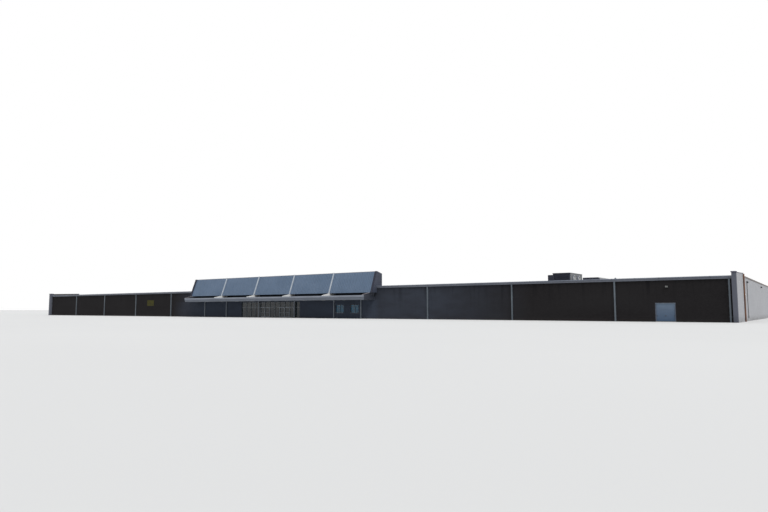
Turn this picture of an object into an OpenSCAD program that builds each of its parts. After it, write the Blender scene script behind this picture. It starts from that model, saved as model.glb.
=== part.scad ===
// Discount supermarket: a long single-storey store with a dark brick front, painted block
// sides, a metal mansard over the entrance and a flat canopy below it.
// All sizes are millimetres of a 1:10 scale model: 100 mm here is one metre of the building.

/* [Plan] */
// Width over the two end piers
store_w = 18042; // [15000:1:21700]
// Depth from the brick front face to the rear wall's outer face
store_d = 6126; // [5000:1:7400]
// Thickness of the outer walls
wall_t = 30; // [25:1:40]
// Thickness of the floor above the ground
floor_t = 6; // [4:1:12]

/* [Heights] */
// Height of the front wall under its metal cap
front_h = 589; // [490:1:710]
// How far the front wall rises above the roof
front_upstand = 34; // [25:1:45]
// How far the side and rear walls rise above the front wall
side_rise = 30; // [20:1:60]
// Thickness of the roof deck
roof_t = 15; // [10:1:25]

/* [End pilasters and returns] */
// Width of the left end pilaster
left_pier_w = 100; // [60:1:200]
// Width of the right end pilaster
right_pier_w = 50; // [42:1:200]
// How far the pilasters stand out in front of the brick
pier_out = 50; // [30:1:90]
// How far the pilasters rise above the front wall
pier_rise = 44; // [30:1:90]
// Height of a pilaster's cap
pier_cap_h = 17; // [10:1:30]
// Fall of the cap's top from its middle to its edges
pier_cap_fall = 5; // [2:1:8]
// Overhang of a pilaster's cap
pier_cap_lip = 7; // [3:1:15]
// How far the thick return walls run back from the brick face
return_run = 830; // [500:1:1200]
// Rise of a return wall's top from front to back
return_rise = 26; // [10:1:60]
// Thickness of the flashing on a return wall
flashing_t = 5; // [3:1:10]
// How far the side walls stand in from the return walls' outer faces
side_in = 10; // [5:1:18]

/* [Front fascia and copings] */
// Height of the metal fascia below its cap
fascia_h = 34; // [20:1:60]
// How far the fascia stands out from the brick
fascia_out = 18; // [12:1:28]
// How far the fascia's lower edge kicks out as a drip
drip_out = 3; // [1:1:5]
// Height of the drip
drip_h = 5; // [3:1:8]
// Thickness of the cap strip on the fascia
fascia_cap_t = 6; // [4:1:12]
// Overhang of the cap strip and of the copings
cap_lip = 4; // [2:1:8]
// Height of the copings on the side and rear walls
coping_h = 16; // [8:1:30]
// Fall of a coping's top towards the roof
coping_fall = 5; // [2:1:7]
// How far the edges of caps and copings hang down over the wall
hem_h = 6; // [3:1:12]

/* [Entrance block] */
// Distance from the left end to the entrance block
block_x = 7088; // [6000:1:8500]
// Width of the mansard's left end panel, from the block's end to the first rib
left_panel_w = 1117; // [930:1:1340]
// Width of the panels between the ribs, which are the ribs' spacing
panel_w = 1050; // [875:1:1260]
// Width of the mansard's right end panel, from the last rib to the block's end
right_panel_w = 1032; // [860:1:1240]
// Number of mansard panels
panel_n = 5; // [3:1:5]
// Thickness of a mansard panel
panel_t = 9; // [6:1:14]
// Distance between the standing seams of a panel
seam_pitch = 40; // [30:1:80]
// Width of a standing seam
seam_w = 4; // [2:1:6]
// How far a standing seam stands out from the panel
seam_out = 4; // [2:1:6]
// Width of the ribs between the panels
rib_w = 20; // [12:1:30]
// How far the ribs stand out from the panels
rib_out = 18; // [10:1:35]
// How far the ribs rise above the panels
rib_up = 16; // [10:1:35]
// Thickness of the mansard's end walls
end_t = 36; // [25:1:60]
// How far the end walls stand out in front of the panels
end_out = 20; // [8:1:30]
// How far the end walls rise above the mansard's top
end_up = 12; // [6:1:30]
// Thickness of the metal trims on the end walls and the end plates
trim_t = 2; // [1:0.5:3]
// Height of the open slot between the canopy and the mansard
slot_h = 51; // [40:1:60]
// How far the mansard's peak rises above the front wall
mansard_rise = 263; // [200:1:330]
// How far the mansard's lower edge stands in front of the brick
mansard_out = 138; // [110:1:200]
// How far the mansard's top runs back from the peak
mansard_back = 149; // [120:1:240]
// Fall of the mansard's top from the peak to the back
mansard_fall = 40; // [20:1:80]
// Thickness of the mansard's sheets and soffit
sheet_t = 5; // [3:1:9]
// Height of the metal cap along the peak
peak_cap_h = 10; // [6:1:18]
// Width of the metal cap along the peak
peak_cap_run = 20; // [10:1:30]

/* [Canopy] */
// How far the canopy stands out from the brick
canopy_out = 344; // [280:1:420]
// How far the canopy's ends stand in from the block's ends
canopy_in = 56; // [8:1:70]
// Lower edge of the canopy's fascia
canopy_z = 341; // [284:1:410]
// Height of the canopy's fascia
canopy_h = 81; // [66:1:98]
// Depth of the canopy's boxed front fascia at its top
canopy_box = 30; // [26:1:40]
// Height of the upright band along the fascia's top
canopy_band = 34; // [20:1:45]
// Step back under that band
band_step = 4; // [2:1:6]
// How far the lower edge of the fascia rakes back
canopy_rake = 18; // [8:1:22]
// Thickness of the canopy's end fascias
canopy_sheet = 8; // [5:1:12]
// Thickness of the canopy's deck and soffit
canopy_board = 6; // [4:1:10]
// Set-down of the deck below the top of the fascia
deck_drop = 4; // [2:1:10]
// Side of a canopy column
column_w = 18; // [14:1:36]
// Gap between the brick and a column
column_gap = 2; // [1:1:60]
// Distance from the block's left end to its outer column
column_end_left = 368; // [200:1:500]
// Distance from the block's right end to its outer column
column_end_right = 364; // [200:1:500]
// How far the inner columns stand to the right of the ribs
column_shift = 8; // [0:1:60]
// Thickness of the gussets under the ribs
gusset_t = 16; // [10:1:25]
// Height of a gusset's toe at the canopy's front edge
gusset_toe = 8; // [4:1:20]

/* [Front openings] */
// Distance from the entrance block's left end to the glazed entrance
entrance_in = 1618; // [1450:1:1700]
// Width of the glazed entrance
entrance_w = 1744; // [1450:1:2090]
// Distance of the entrance's head below the canopy's underside
entrance_drop = 19; // [10:1:40]
// Distance from the entrance block's left end to the first window
window_in = 4312; // [4150:1:4450]
// Width of each window
window_w = 196; // [160:1:235]
// Distance between the windows' left edges
window_pitch = 360; // [300:1:400]
// How far the window sills stand out from the brick
sill_out = 6; // [3:1:10]
// Thickness of the window sills
sill_t = 4; // [2:1:6]
// Sill height of the windows
window_sill = 100; // [60:1:140]
// Head height of the windows
window_head = 255; // [215:1:280]
// Distance from the right end to the front roller door
roller_from_end = 713; // [600:1:900]
// Width of a roller door
roller_w = 255; // [210:1:300]
// Height of a roller door
roller_h = 256; // [214:1:305]

/* [Rear openings] */
// Distance from the left end to the first exit door
exit_from_left = 2450; // [2350:1:2600]
// Distance from the right end to the second exit door
exit_from_right = 3300; // [3150:1:3400]
// Distance from the left end to the first rear roller door
dock_x = 5560; // [5400:1:5650]
// Distance between the rear roller doors
dock_pitch = 528; // [400:1:640]
// Width of the exit doors
exit_w = 96; // [80:1:116]
// Height of the exit doors
exit_h = 212; // [176:1:255]
// Thickness of an exit door
exit_t = 6; // [4:1:10]

/* [Glazing and doors] */
// Width of the frames' bars
bar_w = 6; // [4:1:8]
// Depth of the frames' bars
bar_d = 10; // [7:1:12]
// Distance of the frames behind the brick face
frame_in = 8; // [4:1:10]
// Thickness of the glass
glass_t = 3; // [2:1:4]
// Height of the transom over the doors
transom_z = 214; // [200:1:225]
// Number of bays of the glazed entrance
entrance_bays = 12; // [10:1:14]
// Thickness of a roller curtain between its slats' ribs
curtain_t = 4; // [3:1:6]
// Height of a roller curtain's slats
slat_h = 8; // [6:1:16]
// How far a slat bulges out
slat_out = 1; // [0.5:0.5:2]
// Height of the bar along a roller curtain's lower edge
bottom_bar_h = 10; // [6:1:16]
// Width of a roller door's guides and head
guide_w = 12; // [8:1:20]
// Distance of the roller guides and exit doors behind the wall's face
guide_in = 6; // [3:1:8]
// Depth of the roller guides
guide_d = 8; // [5:1:9]
// Gap round a door leaf
leaf_gap = 0.6; // [0.3:0.1:0.9]
// Width of a door leaf's stiles and top rail
stile_w = 8; // [5:1:12]
// Height of a door leaf's bottom rail
rail_h = 14; // [8:1:24]
// Height of the push bars over the ground
push_z = 102; // [90:1:115]
// Height of a push bar's face
push_h = 5; // [3:1:8]
// How far a push bar stands out from its leaf
push_out = 4; // [2:1:6]

/* [Downpipes and lights] */
// Distance between the left wing's downpipes
left_pitch = 1522; // [1270:1:1830]
// Distance from the left end to its first downpipe
left_first = 1572; // [1200:1:1900]
// Distance between the right wing's downpipes
right_pitch = 1544; // [1280:1:1860]
// Distance from the right end to its first downpipe
right_first = 1486; // [1300:1:1800]
// Gap between the right pilaster and the corner downpipe
right_gap = 22; // [8:1:40]
// Width of a front downpipe
pipe_w = 20; // [16:1:28]
// Depth of a front downpipe
pipe_d = 16; // [10:1:18]
// Number of straps on a front downpipe
strap_n = 4; // [2:1:6]
// Height of a strap
strap_h = 5; // [3:1:8]
// Thickness of a strap
strap_t = 1; // [0.5:0.5:2]
// Distance between the rear wall's downpipes
rear_pitch = 1524; // [1270:1:1830]
// Distance from the left end to the rear wall's first downpipe
rear_first = 760; // [600:1:1000]
// Diameter of the round downpipes
round_d = 20; // [16:2:28]
// Distance from a return wall's rear edge to the middle of its round downpipe
return_pipe_in = 55; // [15:1:100]
// Distance of the side lights below the tops of the side walls
side_light_drop = 62; // [30:1:200]
// Distance of the first side light behind the front
side_light_y = 1350; // [1100:1:1700]
// Distance between the side lights
side_light_pitch = 2460; // [2000:1:3000]
// Distance of the lights over roller doors below the fascia
light_drop = 86; // [40:1:120]
// Distance of those lights to the right of the middle of their door
light_side = 28; // [0:1:60]
// Width of a wall light
light_w = 40; // [30:1:48]
// Height of a wall light
light_h = 30; // [22:1:38]
// Depth of a wall light
light_d = 24; // [18:1:30]
// Depth of a wall light at its top and bottom
light_edge_d = 14; // [8:1:16]

/* [Roof units] */
// Distance from the right end to the tall roof unit's left side
unit_from_end = 2670; // [2400:1:2900]
// Distance from the brick front to the tall roof unit
unit_y = 800; // [600:1:1400]
// Width of the tall roof unit
unit_w = 284; // [225:1:330]
// Length of the tall roof unit
unit_d = 600; // [500:1:800]
// Height of the tall roof unit over the roof
unit_h = 201; // [165:1:240]
// Width of the low roof unit
low_w = 274; // [200:1:300]
// Length of the low roof unit
low_d = 700; // [500:1:850]
// Height of the low roof unit over the roof
low_h = 123; // [100:1:150]
// Gap between the two roof units
unit_gap = 138; // [100:1:300]
// How far the low unit stands behind the tall one's front
low_back = 200; // [0:1:400]
// Chamfer along the low unit's right edge
low_slope = 30; // [10:1:60]
// Height of the curbs under the units
curb_h = 14; // [8:1:25]
// How far the curbs stand in under the units
curb_in = 8; // [4:1:20]
// Width of the tall unit's intake hood
intake_w = 83; // [50:1:100]
// Length of the intake hood
intake_d = 300; // [200:1:400]
// Underside of the intake hood over the roof
intake_up = 60; // [45:1:80]
// Fall of the hood's underside towards the unit
intake_slope = 20; // [10:1:35]
// Set-down of the hood's top below the unit's
intake_drop = 28; // [10:1:50]
// Overhang of the tall unit's lid
lid_lip = 4; // [2:1:8]
// Thickness of the tall unit's lid
lid_t = 7; // [4:1:12]
// Distance between the louvre blades on the units' fronts
louvre_pitch = 12; // [9:1:20]
// Depth of the louvre blades
louvre_d = 8; // [5:1:12]
// Width of the casing beside the louvres
casing_w = 14; // [8:1:24]
// Diameter of the fan shrouds on the tall unit
fan_d = 120; // [100:1:130]
// Distance of the first fan's centre behind the unit's front
fan_y = 180; // [130:1:200]
// Distance between the fans' centres
fan_pitch = 240; // [190:1:280]
// Depth of the fan shrouds
fan_t = 14; // [8:1:24]
// Wall of a fan shroud
shroud_t = 5; // [3:1:8]
// Distance from the right end to the roof vent
vent_from_end = 1551; // [1400:1:1700]
// Distance from the brick front to the roof vent
vent_y = 300; // [200:1:500]
// Height of the roof vent over the roof
vent_h = 70; // [50:1:90]
// Diameter of the roof vent's cowl
vent_d = 26; // [18:1:34]
// Diameter of the roof vent's pipe
vent_pipe_d = 12; // [8:1:16]
// Height of the roof vent's cowl
cowl_h = 20; // [14:1:30]
// Height of the flashing at the roof vent's foot
vent_skirt_h = 12; // [8:1:18]

/* [Hidden] */

BRICK = "#342c29";
BLOCK = "#d9d9d3";
LIGHT_METAL = "#c3c8cb";
PANEL = "#8797a8";
DARK_METAL = "#3d4048";
BROWN = "#4b3a33";

// Heights, each from the wall or the canopy that carries the piece
roof_z = front_h - front_upstand;
side_h = front_h + side_rise;
pier_h = front_h + pier_rise;
fascia_z = front_h - fascia_h;
canopy_top = canopy_z + canopy_h;
deck_z = canopy_top - deck_drop;
mansard_z = canopy_top + slot_h;
mansard_top = front_h + mansard_rise;
entrance_h = canopy_z - entrance_drop;
side_light_z = side_h - side_light_drop;
door_light_z = fascia_z - light_drop;
slope = (mansard_top - mansard_z) / mansard_out;
plate_slope = (slot_h - gusset_toe) / (canopy_out - mansard_out);
trim_wrap = (end_out - seam_out) / 2;

// Places along the front
block_end = block_x + left_panel_w + (panel_n - 2) * panel_w + right_panel_w;
brick_end = store_w - right_pier_w;
wings = [[left_pier_w, block_x], [block_end, brick_end]];
canopy_x = [block_x + canopy_in, block_end - canopy_in];
entrance_x = block_x + entrance_in;
window_x = [block_x + window_in, block_x + window_in + window_pitch];
roller_x = store_w - roller_from_end - roller_w;
rib_n = panel_n - 1;
left_pipe_n = floor((block_x - left_first - pipe_w) / left_pitch) + 1;
right_pipe_n = floor((store_w - right_first - block_end - pipe_w) / right_pitch) + 1;

// Places from front to back
side_face = side_in + wall_t;
rear_y = store_d - wall_t;
front_y = -canopy_out;
back_y = store_d + round_d;
box_y = canopy_box - canopy_out;

// Bays of the glazed entrance; each number in door_bays is the left bay of a pair of leaves
entrance_bay = entrance_w / entrance_bays;
door_bays = [4, entrance_bays - 4];
function is_first_leaf(i) = i == door_bays[0] || i == door_bays[1];
function is_door_bay(i) = is_first_leaf(i) || is_first_leaf(i - 1);

// An opening is [left edge, right edge, sill, head].
front_openings = [
    [entrance_x, entrance_x + entrance_w, 0, entrance_h],
    [window_x[0], window_x[0] + window_w, window_sill, window_head],
    [window_x[1], window_x[1] + window_w, window_sill, window_head],
    [roller_x, roller_x + roller_w, 0, roller_h]
];
exit_x = [exit_from_left, store_w - exit_from_right];
rear_roller_x = [dock_x, dock_x + dock_pitch];
rear_openings = [
    [exit_x[0], exit_x[0] + exit_w, 0, exit_h],
    [rear_roller_x[0], rear_roller_x[0] + roller_w, 0, roller_h],
    [rear_roller_x[1], rear_roller_x[1] + roller_w, 0, roller_h],
    [exit_x[1], exit_x[1] + exit_w, 0, exit_h]
];

// A roller door is [left edge, face of its wall, direction inwards].
roller_doors = [
    [roller_x, 0, 1], [rear_roller_x[0], store_d, -1], [rear_roller_x[1], store_d, -1]
];

// The rear wall's downpipes, without those that would stand in front of a door
rear_pipe_last = floor((store_w - side_face - rear_first - round_d) / rear_pitch);
function blocks_door(x) =
    len([for (o = rear_openings) if (x > o[0] - round_d && x < o[1] + round_d) o]) > 0;
rear_pipe_x = [
    for (i = [0:rear_pipe_last]) let (x = rear_first + i * rear_pitch) if (!blocks_door(x)) x
];

// Roof units, each given by its left front corner on the roof
unit_x = store_w - unit_from_end;
low_x = unit_x + unit_w + unit_gap;
low_y = unit_y + low_back;

// The building is laid out from the left end and the brick face, then centred on its footprint.
module place() {
    translate([-store_w / 2, -(front_y + back_y) / 2, 0]) children();
}

// A box between two corners
module block(low, high) {
    translate(low) cube(high - low);
}

// A length along X with its section drawn in Y and Z
module run_x(from, to) {
    translate([from, 0, 0]) rotate([90, 0, 90]) linear_extrude(to - from) children();
}

// A length along Y with its outline drawn in X and Z
module run_y(from, to) {
    translate([0, to, 0]) rotate([90, 0, 0]) linear_extrude(to - from) children();
}

// A rectangle between two corners
module pane(low, high) {
    translate(low) square(high - low);
}

// The left end's pieces as drawn, and mirrored at the right end
module both_ends() {
    children();
    translate([store_w, 0, 0]) mirror([1, 0, 0]) children();
}

// The full-height stretches of a wall between its openings
module wall_stretches(openings, from, to, y, height) {
    for (i = [0:len(openings)]) {
        left = i == 0 ? from : openings[i - 1][1];
        right = i == len(openings) ? to : openings[i][0];
        block([left, y, 0], [right, y + wall_t, height]);
    }
}

// The wall over each opening, and under it where it has a sill
module wall_heads(openings, y, height) {
    for (o = openings) {
        block([o[0], y, o[3]], [o[1], y + wall_t, height]);
        if (o[2] > 0) block([o[0], y, 0], [o[1], y + wall_t, o[2]]);
    }
}

module floor_slab() {
    color("#8d8d88") place()
        block([side_face, wall_t, 0], [store_w - side_face, rear_y, floor_t]);
}

module door_thresholds() {
    color("#8d8d88") place() {
        for (o = front_openings) if (o[2] == 0)
            block([o[0], 0, 0], [o[1], wall_t, floor_t]);
        for (o = rear_openings)
            block([o[0], rear_y, 0], [o[1], store_d, floor_t]);
    }
}

module front_wall() {
    color(BRICK) place() wall_stretches(front_openings, left_pier_w, brick_end, 0, front_h);
}

module front_wall_infill() {
    color(BRICK) place() wall_heads(front_openings, 0, front_h);
}

module side_walls() {
    color(BLOCK) place() both_ends()
        block([side_in, return_run, 0], [side_face, store_d, side_h]);
}

module rear_wall() {
    color(BLOCK) place()
        wall_stretches(rear_openings, side_face, store_w - side_face, rear_y, side_h);
}

module rear_wall_infill() {
    color(BLOCK) place() wall_heads(rear_openings, rear_y, side_h);
}

module end_pilasters() {
    color(BLOCK) place() {
        block([0, -pier_out, 0], [left_pier_w, wall_t, pier_h]);
        block([brick_end, -pier_out, 0], [store_w, wall_t, pier_h]);
    }
}

// Height of a return wall's top over a point behind the brick
function return_z(y) = pier_h + return_rise * (y - wall_t) / (return_run - wall_t);

module end_return_walls() {
    color(BLOCK) place() both_ends() run_x(0, side_face) polygon([
        [wall_t, 0], [return_run, 0], [return_run, return_z(return_run)], [wall_t, pier_h]
    ]);
}

// Section of a cap whose top falls from its middle to both edges
module cap_section(from, to) {
    polygon([
        [from, pier_h], [to, pier_h], [to, pier_h + pier_cap_h - pier_cap_fall],
        [(from + to) / 2, pier_h + pier_cap_h], [from, pier_h + pier_cap_h - pier_cap_fall]
    ]);
}

// Hipped cap over one pilaster
module pilaster_cap(left, right) {
    front = -pier_out - pier_cap_lip;
    intersection() {
        run_x(left - pier_cap_lip, right + pier_cap_lip) cap_section(front, wall_t);
        run_y(front, wall_t) cap_section(left - pier_cap_lip, right + pier_cap_lip);
    }
}

module pilaster_caps() {
    color(DARK_METAL) place() {
        pilaster_cap(0, left_pier_w);
        pilaster_cap(brick_end, store_w);
    }
}

module return_flashings() {
    color(DARK_METAL) place() both_ends() run_x(-cap_lip, side_face + cap_lip) polygon([
        [wall_t, pier_h], [return_run, return_z(return_run)],
        [return_run, return_z(return_run) + flashing_t], [wall_t, pier_h + flashing_t]
    ]);
}

module roof_deck() {
    color("#6e7074") place()
        block([side_face, wall_t, roof_z - roof_t], [store_w - side_face, rear_y, roof_z]);
}

// Metal band along the top of the brick, its lower edge kicked out as a drip
module front_fascia() {
    color(LIGHT_METAL) place() for (r = wings) run_x(r[0], r[1]) polygon([
        [0, fascia_z], [-fascia_out - drip_out, fascia_z], [-fascia_out, fascia_z + drip_h],
        [-fascia_out, front_h], [0, front_h]
    ]);
}

// Folded cap over the fascia and the wall, hemmed down on both sides
module fascia_caps() {
    color(LIGHT_METAL) place() for (r = wings) run_x(r[0], r[1]) polygon([
        [-fascia_out - cap_lip, front_h - hem_h], [-fascia_out, front_h - hem_h],
        [-fascia_out, front_h], [wall_t, front_h], [wall_t, front_h - hem_h],
        [wall_t + cap_lip, front_h - hem_h], [wall_t + cap_lip, front_h + fascia_cap_t],
        [-fascia_out - cap_lip, front_h + fascia_cap_t]
    ]);
}

// Section of a coping over a wall, from the wall's outer face at zero to its roof side
module coping_section() {
    polygon([
        [-cap_lip, -hem_h], [0, -hem_h], [0, 0], [wall_t, 0], [wall_t, -hem_h],
        [wall_t + cap_lip, -hem_h], [wall_t + cap_lip, coping_h - coping_fall],
        [-cap_lip, coping_h]
    ]);
}

module side_copings() {
    color(DARK_METAL) place() both_ends() difference() {
        run_y(return_run, store_d + cap_lip) translate([side_in, side_h]) coping_section();
        block([side_face, rear_y, 0], [side_face + 2 * cap_lip, store_d, side_h]);
    }
}

module rear_coping() {
    color(DARK_METAL) place()
        run_x(side_face + cap_lip, store_w - side_face - cap_lip)
        translate([store_d, side_h]) mirror([1, 0]) coping_section();
}

// Pressed pipe that is held to the brick by straps round its three free faces
module front_downpipe(x) {
    half = pipe_w / 2;
    block([x - half, -pipe_d, 0], [x + half, 0, fascia_z]);
    for (i = [0:strap_n - 1]) {
        z = fascia_z * (i + 0.5) / strap_n;
        block([x - half - strap_t, -pipe_d - strap_t, z], [x + half + strap_t, 0, z + strap_h]);
    }
}

module front_downpipes() {
    color(LIGHT_METAL) place() {
        for (i = [0:left_pipe_n - 1]) front_downpipe(left_first + i * left_pitch);
        for (i = [0:right_pipe_n - 1]) front_downpipe(store_w - right_first - i * right_pitch);
        front_downpipe(brick_end - right_gap - pipe_w / 2);
    }
}

module round_pipe(x, y, height) {
    translate([x, y, 0]) cylinder(h = height, d = round_d, $fn = 48);
}

// Round pipes at the ends of the return walls and along the rear wall, up to the caps' hems
module service_downpipes() {
    color("#6b4a38") place() {
        both_ends() round_pipe(-round_d / 2, return_run - return_pipe_in,
            return_z(return_run - return_pipe_in - round_d) - hem_h);
        for (x = rear_pipe_x) round_pipe(x, store_d + round_d / 2, side_h - hem_h);
    }
}

// Height of the mansard's front face over a point in front of the brick
function face_z(y) = mansard_top + slope * y;

// Height of the mansard's top behind the peak
function top_z(y) = mansard_top - y * mansard_fall / mansard_back;

function rib_x(i) = block_x + left_panel_w + (i - 1) * panel_w;
function panel_left(i) = i == 0 ? block_x + end_t : rib_x(i) + rib_w / 2;
function panel_right(i) = i == rib_n ? block_end - end_t : rib_x(i + 1) - rib_w / 2;

// Section of the sloping sheet from the mansard's lower edge up to the peak
module panel_section() {
    polygon([
        [-mansard_out, mansard_z], [panel_t - mansard_out, mansard_z],
        [0, face_z(-panel_t)], [0, mansard_top]
    ]);
}

// Section of a standing seam, rooted halfway into the sheet
module seam_section() {
    polygon([
        [-mansard_out - seam_out, mansard_z], [panel_t / 2 - mansard_out, mansard_z],
        [0, face_z(-panel_t / 2)], [0, mansard_top], [-seam_out, mansard_top]
    ]);
}

// Each panel fills the space between two ribs, and its seams are centred on it.
module mansard_panel(left, right) {
    seam_n = floor((right - left - seam_w) / seam_pitch);
    first = (left + right - seam_n * seam_pitch) / 2;
    run_x(left, right) panel_section();
    for (i = [0:seam_n]) {
        x = first + i * seam_pitch;
        run_x(x - seam_w / 2, x + seam_w / 2) seam_section();
    }
}

module mansard_panels() {
    color(PANEL) place() for (i = [0:rib_n]) mansard_panel(panel_left(i), panel_right(i));
}

module mansard_ribs() {
    color("white") place() for (i = [1:rib_n])
        run_x(rib_x(i) - rib_w / 2, rib_x(i) + rib_w / 2) polygon([
            [-mansard_out - rib_out, mansard_z], [panel_t - mansard_out, mansard_z],
            [0, face_z(-panel_t)], [0, mansard_top + rib_up],
            [rib_up / slope - rib_out, mansard_top + rib_up]
        ]);
}

module between_end_walls() {
    run_x(block_x + end_t, block_end - end_t) children();
}

module mansard_peak_cap() {
    color(LIGHT_METAL) place() between_end_walls() polygon([
        [0, mansard_top], [peak_cap_run, top_z(peak_cap_run)],
        [peak_cap_run, mansard_top + peak_cap_h], [0, mansard_top + peak_cap_h]
    ]);
}

// End wall, notched over the brick wall, so that it rests on it and on the roof. A metal trim
// wraps its raked front edge.
module mansard_end_wall(x) {
    foot = -mansard_out - end_out;
    head = end_up / slope - end_out;
    run_x(x, x + end_t) polygon([
        [foot, mansard_z], [0, mansard_z], [0, front_h], [wall_t, front_h],
        [wall_t, roof_z], [mansard_back, roof_z], [mansard_back, top_z(mansard_back) + end_up],
        [0, mansard_top + end_up], [head, mansard_top + end_up]
    ]);
    run_x(x - trim_t, x + end_t + trim_t) polygon([
        [foot - trim_t, mansard_z], [foot + trim_wrap, mansard_z],
        [head + trim_wrap, mansard_top + end_up], [head - trim_t, mansard_top + end_up]
    ]);
}

module mansard_end_walls() {
    color(BROWN) place() {
        mansard_end_wall(block_x);
        mansard_end_wall(block_end - end_t);
    }
}

module mansard_soffit() {
    color(DARK_METAL) place() between_end_walls() polygon([
        [panel_t - mansard_out, mansard_z], [0, mansard_z], [0, mansard_z + sheet_t],
        [panel_t - mansard_out + sheet_t / slope, mansard_z + sheet_t]
    ]);
}

module mansard_top_sheet() {
    color(PANEL) place() between_end_walls() polygon([
        [0, mansard_top - sheet_t], [mansard_back, top_z(mansard_back) - sheet_t],
        [mansard_back, top_z(mansard_back)], [0, mansard_top]
    ]);
}

module mansard_back_wall() {
    inside = mansard_back - sheet_t;
    color(PANEL) place() between_end_walls() polygon([
        [inside, roof_z], [mansard_back, roof_z],
        [mansard_back, top_z(mansard_back) - sheet_t], [inside, top_z(inside) - sheet_t]
    ]);
}

// Upright plate on the canopy that carries the mansard's lower edge. Its toe laps over the
// boxed fascia as far as the canopy's front edge.
module gusset(x) {
    run_x(x, x + gusset_t) polygon([
        [box_y, deck_z], [0, deck_z], [0, mansard_z], [-mansard_out, mansard_z],
        [-canopy_out, canopy_top + gusset_toe], [-canopy_out, canopy_top], [box_y, canopy_top]
    ]);
}

module mansard_gussets() {
    color("white") place() for (i = [1:rib_n]) gusset(rib_x(i) - gusset_t / 2);
}

// Plate that closes the slot at an end, its sloping edge covered by a folded flashing
module canopy_end_plate(x) {
    toe_z = canopy_top + gusset_toe;
    gusset(x);
    run_x(x - trim_t, x + gusset_t + trim_t) polygon([
        [-mansard_out, mansard_z - 2 * trim_t], [-canopy_out, toe_z - gusset_toe / 2],
        [-canopy_out, toe_z + trim_t], [-mansard_out - trim_t / plate_slope, mansard_z],
        [-mansard_out, mansard_z]
    ]);
}

module canopy_end_plates() {
    color(BROWN) place() {
        canopy_end_plate(canopy_x[0] + canopy_sheet);
        canopy_end_plate(canopy_x[1] - canopy_sheet - gusset_t);
    }
}

// Boxed front fascia with an upright band over a face that rakes back
module canopy_fascia() {
    color(LIGHT_METAL) place() run_x(canopy_x[0], canopy_x[1]) polygon([
        [-canopy_out, canopy_top], [-canopy_out, canopy_top - canopy_band],
        [band_step - canopy_out, canopy_top - canopy_band],
        [canopy_rake - canopy_out, canopy_z], [box_y, canopy_z], [box_y, canopy_top]
    ]);
}

module canopy_end_fascias() {
    color(BROWN) place() for (x = [canopy_x[0], canopy_x[1] - canopy_sheet])
        block([x, box_y, canopy_z], [x + canopy_sheet, 0, canopy_top]);
}

// A board of the canopy between its fascias, given by its upper face
module canopy_sheeting(top) {
    block([canopy_x[0] + canopy_sheet, box_y, top - canopy_board],
        [canopy_x[1] - canopy_sheet, 0, top]);
}

module canopy_deck() {
    color("#6e7074") place() canopy_sheeting(deck_z);
}

module canopy_soffit() {
    color("#8f9498") place() canopy_sheeting(canopy_z + canopy_board);
}

module canopy_columns() {
    centres = concat(
        [for (i = [1:rib_n]) rib_x(i) + column_shift],
        [block_x + column_end_left, block_end - column_end_right]);
    color("white") place() for (x = centres)
        block([x - column_w / 2, -column_gap - column_w, 0],
            [x + column_w / 2, -column_gap, canopy_z]);
}

// The clear light of the entrance's bays from first to last, between two heights
module entrance_light(first, last, low, high) {
    pane([entrance_x + first * entrance_bay + bar_w / 2, low + bar_w / 2],
        [entrance_x + (last + 1) * entrance_bay - bar_w / 2, high - bar_w / 2]);
}

// The clear opening of a doorway, down through the frame's lower edge
module doorway(i) {
    pane([entrance_x + i * entrance_bay + bar_w / 2, floor_t - bar_w],
        [entrance_x + (i + 2) * entrance_bay - bar_w / 2, transom_z - bar_w / 2]);
}

module entrance_frame() {
    difference() {
        pane([entrance_x, floor_t], [entrance_x + entrance_w, entrance_h]);
        for (i = [0:entrance_bays - 1]) {
            entrance_light(i, i, transom_z, entrance_h);
            if (!is_door_bay(i)) entrance_light(i, i, floor_t, transom_z);
        }
        for (i = door_bays) doorway(i);
    }
}

// A window's frame with one upright bar in the middle
module window_frame() {
    pane_w = (window_w - 3 * bar_w) / 2;
    difference() {
        pane([0, window_sill], [window_w, window_head]);
        for (x = [bar_w, 2 * bar_w + pane_w])
            pane([x, window_sill + bar_w], [x + pane_w, window_head - bar_w]);
    }
}

// The windows' frames stand on metal sills that lead the rain out over the brick.
module glazing_frames() {
    color("#b9bdbf") place() {
        run_y(frame_in, frame_in + bar_d) {
            entrance_frame();
            for (x = window_x) translate([x, 0]) window_frame();
        }
        for (x = window_x) block([x, -sill_out, window_sill],
            [x + window_w, frame_in, window_sill + sill_t]);
    }
}

module glazing_glass() {
    inset = bar_w / 2;
    color("#20343c") place() run_y(frame_in + bar_d, frame_in + bar_d + glass_t) {
        entrance_light(0, entrance_bays - 1, transom_z, entrance_h);
        entrance_light(0, door_bays[0] - 1, floor_t, transom_z);
        for (i = door_bays) entrance_light(i, i + 1, floor_t, transom_z);
        entrance_light(door_bays[0] + 2, door_bays[1] - 1, floor_t, transom_z);
        entrance_light(door_bays[1] + 2, entrance_bays - 1, floor_t, transom_z);
        for (x = window_x)
            pane([x + inset, window_sill + inset], [x + window_w - inset, window_head - inset]);
    }
}

// The sides of a door leaf, in its half of the doorway with a gap all round
function leaf_left(i) =
    entrance_x + i * entrance_bay + (is_first_leaf(i) ? bar_w / 2 : 0) + leaf_gap;
function leaf_right(i) =
    entrance_x + (i + 1) * entrance_bay - (is_first_leaf(i) ? 0 : bar_w / 2) - leaf_gap;

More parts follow.
